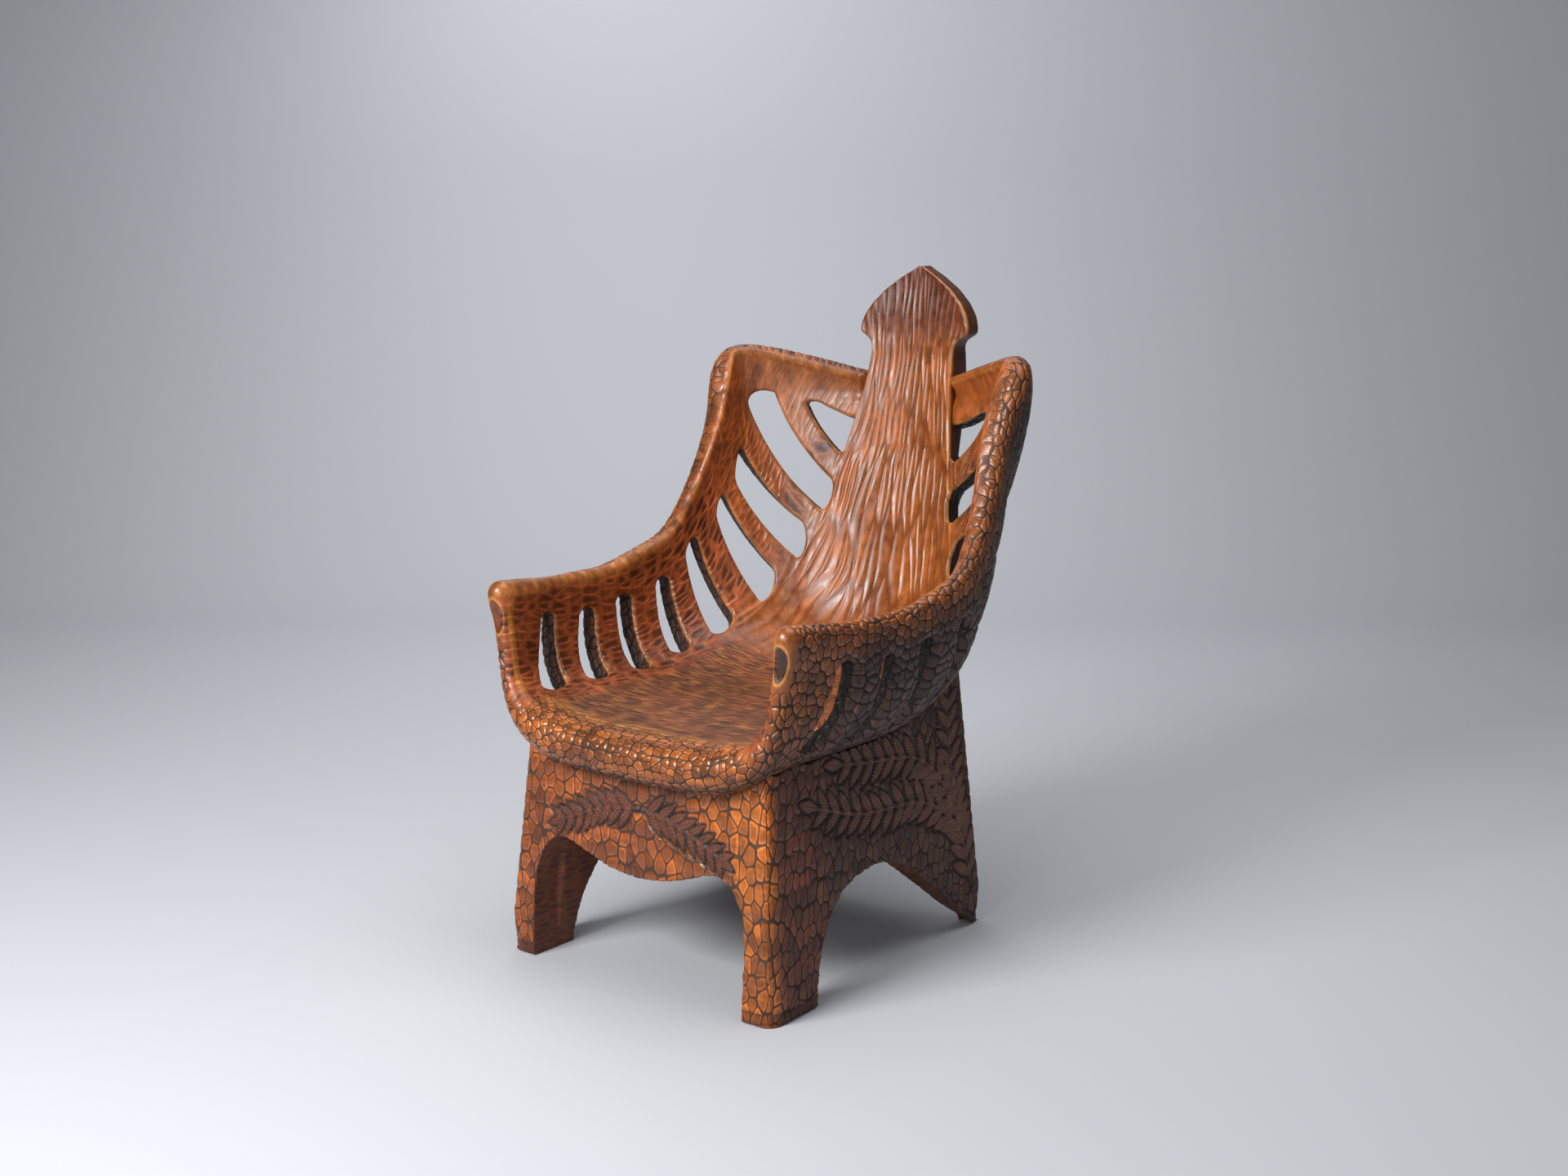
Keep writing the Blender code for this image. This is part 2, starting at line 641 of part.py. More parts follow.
def rod(centre, axis, length, diameter):
    """A closed bmesh: a round bar about a centre."""
    axis = Vector(axis).normalized()
    across = axis.orthogonal().normalized()
    beside = axis.cross(across)
    turns = np.linspace(0.0, 2.0 * np.pi, DOWEL_SIDES, endpoint=False)
    ring = [(across * np.cos(a) + beside * np.sin(a)) * diameter / 2.0 for a in turns]
    ends = [Vector(centre) - axis * length / 2.0, Vector(centre) + axis * length / 2.0]
    return loft([[end + spoke for spoke in ring] for end in ends])


def joined(meshes):
    """Several bmeshes as one."""
    whole = bmesh.new()
    for mesh in meshes:
        data = bpy.data.meshes.new("joined")
        mesh.to_mesh(data)
        mesh.free()
        whole.from_mesh(data)
        bpy.data.meshes.remove(data)
    return whole


def tub_boards():
    """The tub's boards by name, cut from the shell along upright seams."""
    shell = tub_mesh()
    boards = {
        "back_centre_board": box_of(shell, (-BACK_SEAM_X, BACK_SEAM_Y, None), (BACK_SEAM_X, None, None)),
        "seat_board_centre": box_of(shell, (-SEAT_SEAM_X, None, None), (SEAT_SEAM_X, BACK_SEAM_Y, None)),
    }
    for hand, side in (("left", 1), ("right", -1)):
        regions = {
            "seat_board": ((SEAT_SEAM_X, None), (WALL_SEAM_X, BACK_SEAM_Y)),
            "arm_stave": ((WALL_SEAM_X, None), (None, ARM_SEAM_Y)),
            "side_stave": ((WALL_SEAM_X, ARM_SEAM_Y), (None, BACK_SEAM_Y)),
            "corner_stave": ((BACK_SEAM_X, BACK_SEAM_Y), (None, None)),
        }
        for part, (low, high) in regions.items():
            near, far = low[0], high[0]
            if side < 0:
                near, far = (None if far is None else -far), -near
            boards[f"{part}_{hand}"] = box_of(shell, (near, low[1], None), (far, high[1], None))
    shell.free()
    made = {name: new_object(name, mesh) for name, mesh in boards.items()}
    combine(made["back_centre_board"], splat_mesh(), "UNION")
    return made


def base_boards():
    front_arch = sized(FRONT_ARCH, FOOT_X - FRONT_FOOT_WIDTH, FRONT_ARCH_HEIGHT)
    rear_arch = sized(REAR_ARCH, FOOT_X - REAR_FOOT_WIDTH, REAR_ARCH_HEIGHT)
    made = {
        "base_front_board": cross_board("base_front_board", front_arch, front_y, BASE_THICKNESS),
        "base_rear_board": cross_board("base_rear_board", rear_arch, rear_y, -BASE_THICKNESS),
        "base_side_board_left": side_board("base_side_board_left", 1),
        "base_side_board_right": side_board("base_side_board_right", -1),
    }
    for obj in made.values():
        combine(obj, hull_mesh(), "DIFFERENCE")
    return made


def halved(reaches, low, high):
    """The value between low and high where the test starts to hold."""
    for _ in range(36):
        centre = mix(low, high, 0.5)
        if reaches(centre):
            high = centre
        else:
            low = centre
    return mix(low, high, 0.5)


def station_at(t, y):
    """Station where the middle surface reaches a depth, at a share."""
    return halved(lambda s: middle(s, t)[1] >= y, 0.0, 0.95 * LAST_STATION)


def share_at(s, x):
    """Share where the middle surface lies a distance out from the centre, at a station."""
    return halved(lambda t: middle(s, t)[0] >= x, 0.0, 1.0)


def surface_at(x, y):
    """Station and share of the middle surface at a place in plan."""
    t = 0.0
    for _ in range(8):
        s = station_at(t, y)
        t = share_at(s, x)
    return s, t


def rib_station(number):
    """Station at the foot of the rib behind a slot."""
    here, there = SLOTS[number], SLOTS[number + 1]
    return mix(here[0] + here[1] / 2.0, there[0] - there[1] / 2.0, 0.5)


def underside(x, y):
    """Height of the hull's underside at a place in plan."""
    s, t = surface_at(x, y)
    normal = directions(s, t)[2]
    return middle(s, t)[2] - thickness(s, t) / 2.0 / normal[2]


def side_dowels():
    """Dowels of one half, as (name, place, axis, length, two boards). Boards ending in _ take the hand."""
    rods = []

    def add(name, place, axis, length, *boards):
        rods.append((name, Vector(place), Vector(axis), length, boards))

    x_axis, y_axis, z_axis = (1.0, 0.0, 0.0), (0.0, 1.0, 0.0), (0.0, 0.0, 1.0)
    for end, s in zip(("front", "rear"), SEAT_DOWEL_STATIONS):
        place = middle(s, share_at(s, SEAT_SEAM_X))
        add(f"seat_dowel_{end}_", place, x_axis, DOWEL_LENGTH, "seat_board_centre", "seat_board_")
    for number in range(4):
        s = rib_station(number)
        place = middle(s, share_at(s, WALL_SEAM_X))
        stave = "arm" if place[1] < ARM_SEAM_Y else "side"
        add(f"rib_dowel_{number + 1}_", place, x_axis, SHORT_DOWEL_LENGTH, "seat_board_", f"{stave}_stave_")
    for name, x, boards in (
        ("seat_back_dowel_", SEAT_BACK_DOWEL_X, ("seat_board_centre", "back_centre_board")),
        ("seat_corner_dowel_", WALL_SEAM_X - SEAT_CORNER_DOWEL_INSET, ("seat_board_", "corner_stave_")),
    ):
        add(name, middle(*surface_at(x, BACK_SEAM_Y)), y_axis, DOWEL_LENGTH, *boards)
    for name, share, y, boards in (
        ("arm_rail_dowel_", RAIL_DOWEL_SHARE, ARM_SEAM_Y, ("arm_stave_", "side_stave_")),
        ("side_rail_dowel_", SIDE_RAIL_DOWEL_SHARE, BACK_SEAM_Y, ("side_stave_", "corner_stave_")),
    ):
        add(name, middle(station_at(share, y), share), y_axis, SHORT_DOWEL_LENGTH, *boards)
    back = ("back_centre_board", "corner_stave_")
    share = BACK_RAIL_DOWEL_SHARE
    top = halved(lambda s: middle(s, share)[0] <= BACK_SEAM_X, LAST_STATION - 2.0, LAST_STATION)
    add("back_rail_dowel_", middle(top, share), x_axis, SHORT_DOWEL_LENGTH, *back)
    fan = share_at(FAN_DOWEL_STATION, BACK_SEAM_X)
    add("fan_dowel_", middle(FAN_DOWEL_STATION, fan), x_axis, SHORT_DOWEL_LENGTH, *back)

    def stand(name, x, y, *boards):
        add(name, (x, y, underside(x, y)), z_axis, DOWEL_LENGTH, *boards)

    front, rear = base_middles()
    stand("front_base_dowel_", FOOT_X - FRONT_BASE_DOWEL_INSET, front, "base_front_board", "seat_board_")
    stand("rear_base_dowel_", FOOT_X - REAR_BASE_DOWEL_INSET, rear, "base_rear_board", "corner_stave_")
    inset = WALL_SEAM_X - SIDE_BASE_DOWEL_INSET
    for end, y in zip(("front", "rear"), SIDE_BASE_DOWELS_Y):
        stand(f"side_base_dowel_{end}_", inset, y, "base_side_board_", "seat_board_")
    for end, height, drop in (
        ("front", FRONT_MITRE_DOWEL_HEIGHT, FRONT_MITRE_DOWEL_DROP),
        ("rear", REAR_MITRE_DOWEL_HEIGHT, REAR_MITRE_DOWEL_DROP),
    ):
        normal = corner_plane(end == "front", 1)[1]
        for level, z in (("lower", height), ("upper", SEAT_HEIGHT - drop)):
            place = corner_edge(end == "front", 1, z, 0.5)
            boards = (f"base_{end}_board", "base_side_board_")
            add(f"{end}_mitre_dowel_{level}_", place, normal, SHORT_DOWEL_LENGTH, *boards)
    return rods


def base_middles():
    """Depths halfway through the front and the rear board, where they meet the tub."""
    front = front_y(SEAT_HEIGHT) + BASE_THICKNESS / 2.0
    rear = rear_y(SEAT_HEIGHT) - BASE_THICKNESS / 2.0
    return front, rear


def all_dowels():
    """Dowels of both halves and of the centre, as (name, place, axis, length, two boards)."""
    rods = []
    for hand, side in (("left", 1.0), ("right", -1.0)):
        flip = Vector((side, 1.0, 1.0))
        for name, place, axis, length, boards in side_dowels():
            boards = [board + hand if board.endswith("_") else board for board in boards]
            rods.append((name + hand, place * flip, axis * flip, length, boards))
    upright = Vector((0.0, 0.0, 1.0))
    ends = (("front", "seat_board_centre"), ("rear", "back_centre_board"))
    for (end, above), y in zip(ends, base_middles()):
        place = Vector((0.0, y, underside(0.0, y)))
        rods.append((f"{end}_base_dowel_centre", place, upright, DOWEL_LENGTH, [f"base_{end}_board", above]))
    return rods


def add_dowels(boards):
    """Makes the dowels, and bores both boards of each."""
    bores = {}
    made = {}
    for name, place, axis, length, pair in all_dowels():
        made[name] = new_object(name, rod(place, axis, length, DOWEL_DIAMETER), DOWEL_WOOD)
        for board_name in pair:
            hole = (place, axis, length + 2.0 * DOWEL_END_CLEARANCE, DOWEL_DIAMETER + 2.0 * DOWEL_CLEARANCE)
            bores.setdefault(board_name, []).append(rod(*hole))
    for board_name, rods in bores.items():
        combine(boards[board_name], joined(rods), "DIFFERENCE")
    return made


def move_to_origin(objects):
    """Moves everything so that the origin is at the bottom centre of the whole chair's box."""
    corners = np.array([v.co for obj in objects for v in obj.data.vertices])
    low, high = corners.min(axis=0), corners.max(axis=0)
    shift = Matrix.Translation((0.0, -(low[1] + high[1]) / 2.0, -low[2]))
    for obj in objects:
        obj.data.transform(shift)


def main():
    for obj in list(bpy.data.objects):
        bpy.data.objects.remove(obj)
    pieces = tub_boards()
    pieces.update(base_boards())
    pieces.update(add_dowels(pieces))
    move_to_origin(list(pieces.values()))
    for obj in pieces.values():
        obj.data.shade_smooth()
        obj.data.set_sharp_from_angle(angle=SHARP_ANGLE)


main()
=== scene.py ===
"""Dresses the carved tub armchair: carved surfaces, wood, floor, light and camera.

The tub, the splat and the base are made again at about 3 mm from the sizes of the part, carved with cells,
facets, flutes and leaves, painted point by point, and parted at the same seams as the boards.
"""

import math

import bmesh
import bpy
import numpy as np
from mathutils import Matrix, Vector
from mathutils.kdtree import KDTree


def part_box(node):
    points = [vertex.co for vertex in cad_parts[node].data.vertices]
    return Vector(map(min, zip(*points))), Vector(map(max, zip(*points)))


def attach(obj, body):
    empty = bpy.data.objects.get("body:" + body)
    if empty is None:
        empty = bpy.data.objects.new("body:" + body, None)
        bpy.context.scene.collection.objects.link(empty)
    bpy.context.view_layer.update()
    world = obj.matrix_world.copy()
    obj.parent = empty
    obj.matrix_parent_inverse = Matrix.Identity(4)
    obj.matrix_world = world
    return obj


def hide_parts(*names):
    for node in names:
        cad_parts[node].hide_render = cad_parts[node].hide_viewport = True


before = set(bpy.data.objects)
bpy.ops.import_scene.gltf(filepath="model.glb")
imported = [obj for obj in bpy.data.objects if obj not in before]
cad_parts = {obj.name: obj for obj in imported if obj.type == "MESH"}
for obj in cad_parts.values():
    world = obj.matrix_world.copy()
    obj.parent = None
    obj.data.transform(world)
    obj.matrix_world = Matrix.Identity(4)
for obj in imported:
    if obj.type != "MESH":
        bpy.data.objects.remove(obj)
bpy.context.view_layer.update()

# Sizes of the part. Y is counted from about the middle of the base, and moved at the end. Each slot has its
# foot and top as stations with widths, then its lowest and highest share. Each splat station has its height,
# half-width, front, dish and thickness.
RAIL_LINE = [
    (0.291, -0.277, 0.583), (0.305, -0.166, 0.578), (0.310, -0.074, 0.577), (0.313, -0.007, 0.580),
    (0.315, 0.093, 0.603), (0.309, 0.155, 0.637), (0.299, 0.216, 0.730), (0.293, 0.260, 0.842),
    (0.299, 0.298, 0.918), (0.230, 0.368, 0.920), (0.040, 0.471, 0.867),
]
SPINE_LINE = [
    (-0.283, 0.364), (-0.177, 0.369), (-0.070, 0.370), (0.047, 0.367), (0.149, 0.372), (0.251, 0.395),
    (0.326, 0.465), (0.367, 0.558), (0.391, 0.651), (0.428, 0.772), (0.469, 0.843),
]
LAST = len(RAIL_LINE) - 1
SEAT_SQUARENESS = 3.6
BACK_SQUARENESS = 2.0
BEND_STATIONS = (1.5, 6.0)
ROLL_THICKNESS = 0.073
SEAT_THICKNESS = 0.056
ARM_THICKNESS = 0.031
BACK_THICKNESS = 0.036
RAIL_SWELL = 0.014
ROLL_REACH = 0.95
ROLL_SHARES = (0.36, 0.74)
SEAT_STATIONS = (3.0, 7.0)
WALL_RISE_SHARES = (0.38, 0.70)
SWELL_STATIONS = (5.0, 8.0)
SWELL_SHARES = (0.75, 1.0)
ARM_END_REACH = 1.2
ARM_WAIST = 0.010
ARM_WAIST_START = 0.5
ARM_WAIST_SHARE = 0.80
ARM_KNOB = 0.012
KNOB_SHARES = (0.88, 1.0)
SLOTS = [
    (0.74, 0.60, 0.92, 0.38, 0.590, 0.910), (1.74, 0.50, 1.95, 0.46, 0.580, 0.897),
    (2.70, 0.40, 3.07, 0.44, 0.565, 0.905), (3.71, 0.46, 4.08, 0.42, 0.565, 0.888),
    (4.77, 0.62, 5.15, 0.42, 0.540, 0.908), (5.88, 0.60, 6.07, 0.36, 0.460, 0.850),
    (6.93, 0.66, 6.89, 0.56, 0.365, 0.812), (8.02, 0.54, 8.38, 0.64, 0.292, 0.842),
    (9.02, 0.66, 9.08, 0.18, 0.318, 0.725),
]
SLOT_ROUNDING = 0.034
SPLAT_STATIONS = np.array([
    (0.560, 0.134, 0.345, 0.012, 0.014), (0.640, 0.134, 0.362, 0.018, 0.018),
    (0.700, 0.127, 0.373, 0.024, 0.022), (0.760, 0.115, 0.388, 0.021, 0.032),
    (0.835, 0.100, 0.408, 0.015, 0.050), (0.900, 0.0900, 0.425, 0.011, 0.056),
    (0.940, 0.0865, 0.435, 0.009, 0.050), (0.956, 0.0880, 0.437, 0.008, 0.043),
    (0.966, 0.0950, 0.438, 0.008, 0.038), (0.972, 0.1050, 0.438, 0.008, 0.038),
    (0.975, 0.1144, 0.438, 0.008, 0.038), (0.988, 0.1146, 0.440, 0.008, 0.038),
    (1.006, 0.1090, 0.443, 0.007, 0.038), (1.028, 0.0940, 0.448, 0.006, 0.037),
    (1.052, 0.0690, 0.453, 0.005, 0.035), (1.074, 0.0370, 0.458, 0.003, 0.032),
    (1.092, 0.0040, 0.462, 0.001, 0.029),
])
SEAT_SEAM_X = 0.080
WALL_SEAM_X = 0.228
BACK_SEAM_X = 0.135
ARM_SEAM_Y = 0.019
BACK_SEAM_Y = 0.205
GLUE_GAP = 0.0003
FRONT_FOOT_Y = -0.299
REAR_FOOT_Y = 0.308
FOOT_X = 0.279
FRONT_LEAN = 0.0735
REAR_LEAN = 0.068
SIDE_LEAN = 0.085
SIDE_TAPER = 0.0346
BACK_SHIFT = FRONT_FOOT_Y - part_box("base_front_board")[0][1]

# Fineness of the carved surfaces. Behind BACK_STATION the columns lie further apart. A part keeps the faces
# up to CUT_MARGIN beyond its planes until it is cut, and edges sharper than SHARP_ANGLE stay sharp.
GRID_STEP = 0.0027
BACK_COARSER = 1.4
BACK_STATION = 5.5
FAN_STEPS = 84
SLOT_ROW_STEPS = 70
RAIL_STEPS = 18
SLOT_STEPS = 16
ROUND_STEPS = 32
CORNER_STEPS = 8
WALL_STEPS = 12
BASE_VOXEL = 0.0027
SPLAT_STEP = 0.0028
SPLAT_SPAN = 0.23
RIB_SHARES = (0.6, 0.95)
CUT_MARGIN = 0.012
SHARP_ANGLE = math.radians(70.0)

# Slots: spread of the front and rear walls on the way out, in stations, at the sitter's left and right, and
# where it fades; radius of the edges inside; reach of the scoops outside by side of the slot; their shape.
SLOT_FLARES = ((-0.085, 0.085), (0.03, -0.085))
FLARE_STATIONS = (4.5, 6.5)
EDGE_RADIUS = 0.0055
SCOOP_BEFORE = 0.004
SCOOP_BEHIND = {1: 0.020, -1: 0.010}
SCOOP_ABOVE = 0.016
SCOOP_BELOW = 0.014
SCOOP_AT_BACK = 0.012
SCOOP_SLOPE = 0.65
SCOOP_DEEPEST = 0.013
SCOOP_SMOOTHING = 14
NEAR_SLOT_SHARES = (0.2, 0.985)

# Other shaping: how square the rail is inside, the panel under it, the splat, the base and the leaf carvings.
# A leaf has its length and width, and the pitch of the leaves on their stem.
RAIL_ROUNDNESS = 0.40
ROUNDNESS_STATIONS = (4.4, 6.6)
PANEL_CUT = 0.012
PANEL_LEAN_STATIONS = (7.6, 8.6)
PANEL_LEAN_SHARES = (0.66, 0.98)
SPLAT_EDGE = 0.0060
SPLAT_SIDE_STEPS = 6
SPLAT_BOTTOM = 0.70
SPLAT_SMOOTHING = 12
SPLAT_INSET = 0.0006
TOP_INSET = 0.0004
NECK_HEIGHT = 0.80
NECK_COVER = 0.010
CORNER_RADIUS = 0.019
FOOT_CORNER = 0.024
FOOT_CORNER_HEIGHT = 0.070
FOOT_ROUNDING = 0.010
FACE_REACH = 0.010
PLINTH_HEIGHT = 0.020
PLINTH_DEPTH = 0.0008
NOTCH_WIDTH = 0.0030
NOTCH_DEPTH = 0.0012
FRONT_LEAF = (0.046, 0.0165, 0.021)
SIDE_LEAF = (0.062, 0.0235, 0.030)
LEAF_ANGLE = 0.78
LEAF_BEND = 0.16
LEAF_DEPTH = 0.0042
MIDRIB_DEPTH = 0.0008
STEM_RADIUS = 0.0038
VEIN_PITCH = 0.0064

# Zones of the tub, where each fades in or out: by station, by share from spine to rail, or by depth behind
# the front. The almond on each arm's end has its share and turn, and its size in both.
ROLL_DEPTHS = (0.030, 0.046)
ROLL_END_SHARES = (0.50, 0.60)
WALL_SHARES = (0.44, 0.56)
REAR_STATIONS = (5.8, 6.6)
FAN_STATIONS = (4.0, 5.4)
FAN_EDGES = (0.95, 1.35)
FAN_FOOT_STATIONS = (5.2, 6.0)
FAN_FOOT_SHARES = (0.30, 0.45)
PANEL_STATIONS = (7.6, 8.4)
SMOOTH_STATIONS = (7.2, 8.0)
ALMOND_PLACE = (0.922, 0.55)
ALMOND_SIZE = (0.064, 0.27)

# Sizes of the cells and cuts, along and across, slants of the strokes and gouges, and depths.
CELL_JITTER = 0.85
FINE_SIZE = 0.0138
FINE_REACH = 0.085
BROAD_SIZE = 0.0172
CELL_HEIGHT = 0.0165
BASE_CELL_SIZE = 0.0200
LEG_CELL_SIZE = 0.0165
LEG_X = 0.205
BASE_CELL_HEIGHT = 0.0275
GROOVE_DEPTH = 0.0010
SEAT_DOME = 0.0008
WALL_DOME = 0.0010
BASE_DOME = 0.0012
FLUTE_SIZE = (0.0118, 0.120)
STROKE_SIZE = (0.052, 0.0072)
STROKE_SLANT = 0.30
FACET_SIZE = (0.0390, 0.0128)
GOUGE_SIZE = (0.046, 0.0112)
GOUGE_SLANT = 0.35
ARCH_CUT_SIZE = (0.034, 0.0105)
STROKE_DEPTH = 0.0004
FACET_DEPTH = 0.0008
GOUGE_DEPTH = 0.0012
PANEL_GOUGE_DEPTH = 0.0005
FLUTE_DEPTH = 0.0014
ARCH_CUT_DEPTH = 0.0010
ALMOND_DEPTH = 0.0030

# Colours of the wood, linear.
HONEY = np.array((0.56, 0.230, 0.050))
AMBER = np.array((0.42, 0.112, 0.017))
PALE_AND_SHEEN = np.array((0.330, 0.135, 0.062))
GOLD = np.array((0.355, 0.091, 0.009))
RED_BROWN = np.array((0.200, 0.046, 0.012))
SEAT_BROWN = np.array((0.200, 0.047, 0.013))
SHADED_OUTSIDE_BROWN = np.array((0.062, 0.028, 0.017))
DULL = np.array((0.086, 0.033, 0.019))
GROOVE_AND_SHADE_DARK = np.array((0.024, 0.010, 0.006))
NEAR_BLACK = np.array((0.008, 0.004, 0.003))
DARK_BEECH = (0.42, 0.27, 0.14, 1.0)
LIGHT_BEECH = (0.62, 0.45, 0.27, 1.0)


def smooth_step(value, low, high):
    """0 below low, 1 above high, and an even S between."""
    share = np.clip((np.asarray(value, float) - low) / (high - low), 0.0, 1.0)
    return share * share * (3.0 - 2.0 * share)


def fade(value, low, high):
    """1 below low, 0 above high, and an even S between."""
    return 1.0 - smooth_step(value, low, high)


def bump(value, centre, reach):
    """1 at the centre, fading to 0 at the reach on both sides."""
    return fade(np.abs(np.asarray(value, float) - centre), 0.0, reach)


def mix(first, second, share):
    return first + (second - first) * share


def unit(vectors):
    return vectors / np.linalg.norm(vectors, axis=-1, keepdims=True)


def read_all(items, key, kind=np.float32, width=1):
    """One field of all the items of a mesh, a row for each item."""
    values = np.empty(len(items) * width, kind)
    items.foreach_get(key, values)
    return values.reshape(-1, width).astype(float if kind is np.float32 else int)


def spline(points, at):
    """Natural cubic spline through points at whole-number stations, read at the stations in at."""
    points = np.asarray(points, float)
    count = len(points)
    system = np.eye(count)
    bends = np.zeros_like(points)
    for i in range(1, count - 1):
        system[i, i - 1:i + 2] = (1.0, 4.0, 1.0)
        bends[i] = 6.0 * (points[i - 1] - 2.0 * points[i] + points[i + 1])
    bends = np.linalg.solve(system, bends)
    first = np.clip(np.floor(at).astype(int), 0, count - 2)
    after = (at - first)[..., None]
    before = 1.0 - after
    straight = before * points[first] + after * points[first + 1]
    curve = (before ** 3 - before) * bends[first] + (after ** 3 - after) * bends[first + 1]
    return straight + curve / 6.0


# Random patterns.

def random_of(i, j, k, seed):
    """An even random number from 0 to 1 for each triple of whole numbers."""
    mask = np.uint64(0xFFFFFFFF)
    mixed = np.uint64(seed * 2654435761 % 4294967296)
    for part, factor in ((i, 374761393), (j, 668265263), (k, 2246822519)):
        mixed = mixed + (np.asarray(part).astype(np.int64).astype(np.uint64) & mask) * np.uint64(factor)
        mixed = mixed & mask
        mixed = ((mixed ^ (mixed >> np.uint64(13))) * np.uint64(1274126177)) & mask
    mixed = mixed ^ (mixed >> np.uint64(16))
    return mixed.astype(float) / 4294967295.0


def noise(points, size, seed):
    """Smooth noise from 0 to 1 with lumps of the given size, one for each axis or one for all."""
    place = points / np.asarray(size, float)
    whole = np.floor(place).astype(np.int64)
    share = place - whole
    share = share * share * (3.0 - 2.0 * share)
    total = np.zeros(len(points))
    for corner in np.ndindex(2, 2, 2):
        weight = np.ones(len(points))
        for axis in range(3):
            weight = weight * (share[:, axis] if corner[axis] else 1.0 - share[:, axis])
        total += weight * random_of(*(whole[:, axis] + corner[axis] for axis in range(3)), seed)
    return total


# The tub's middle surface, as tables over station and share.

S_SAMPLES = 401
T_SAMPLES = 241


def surface_tables():
    """Middle surface, directions along s and t, normal into the tub, and lengths along s and t."""
    s = np.linspace(0.0, LAST, S_SAMPLES)
    t = np.linspace(0.0, 1.0, T_SAMPLES)
    rail, spine = spline(RAIL_LINE, s), spline(SPINE_LINE, s)
    up = rail[:, 1:] - spine
    height = np.linalg.norm(up, axis=-1)
    power = mix(SEAT_SQUARENESS, BACK_SQUARENESS, smooth_step(s, *BEND_STATIONS))
    turn = np.linspace(0.0, math.pi / 2.0, T_SAMPLES)
    centre = np.empty((S_SAMPLES, T_SAMPLES, 3))
    for i in range(S_SAMPLES):
        out = rail[i, 0] * np.sin(turn) ** (2.0 / power[i])
        rise = height[i] * (1.0 - np.clip(np.cos(turn), 0.0, 1.0) ** (2.0 / power[i]))
        arc = np.concatenate([[0.0], np.cumsum(np.hypot(np.diff(out), np.diff(rise)))])
        arc /= arc[-1]
        centre[i, :, 0] = np.interp(t, arc, out)
        centre[i, :, 1:] = spine[i] + up[i] / height[i] * np.interp(t, arc, rise)[:, None]
    waist = smooth_step(t, ARM_WAIST_START, ARM_WAIST_SHARE) * fade(t, ARM_WAIST_SHARE, 1.0)
    centre[..., 0] -= ARM_WAIST * waist * fade(s, 0.0, ARM_END_REACH)[:, None]
    along = np.gradient(centre, axis=0)
    across = np.gradient(centre, axis=1)
    across[:, 0] = (1.0, 0.0, 0.0)
    normal = np.cross(across, along)
    along, across, normal = map(unit, (along, across, normal))
    lengths = np.zeros((S_SAMPLES, T_SAMPLES, 2))
    lengths[1:, :, 0] = np.cumsum(np.linalg.norm(np.diff(centre, axis=0), axis=-1), axis=0)
    lengths[:, 1:, 1] = np.cumsum(np.linalg.norm(np.diff(centre, axis=1), axis=-1), axis=1)
    return centre, along, across, normal, lengths


def look_up(table, s, t):
    """A table's values between its points."""
    a = np.clip(s / LAST, 0.0, 1.0) * (S_SAMPLES - 1)
    b = np.clip(t, 0.0, 1.0) * (T_SAMPLES - 1)
    i = np.minimum(a.astype(int), S_SAMPLES - 2)
    j = np.minimum(b.astype(int), T_SAMPLES - 2)
    a, b = (a - i)[..., None], (b - j)[..., None]
    low = table[i, j] * (1.0 - a) + table[i + 1, j] * a
    high = table[i, j + 1] * (1.0 - a) + table[i + 1, j + 1] * a
    return low * (1.0 - b) + high * b


def thickness(s, t):
    """Thickness of the shell: a fat roll in front, a stout seat, thin walls, a rail that swells behind."""
    bend = smooth_step(s, *BEND_STATIONS)
    wall = mix(ARM_THICKNESS, BACK_THICKNESS, bend)
    wall = wall + RAIL_SWELL * smooth_step(t, *SWELL_SHARES) * smooth_step(s, *SWELL_STATIONS)
    knob = ARM_KNOB * smooth_step(t, *KNOB_SHARES) * fade(s, 0.0, ARM_END_REACH)
    seat = mix(SEAT_THICKNESS, BACK_THICKNESS, smooth_step(s, *SEAT_STATIONS))
    plain = mix(seat, wall, smooth_step(t, *WALL_RISE_SHARES))
    roll = mix(ROLL_THICKNESS, ARM_THICKNESS, smooth_step(t, *ROLL_SHARES))
    return mix(roll, plain, smooth_step(s, 0.0, ROLL_REACH)) + knob


CENTRE, ALONG, ACROSS, NORMAL, LENGTHS = surface_tables()


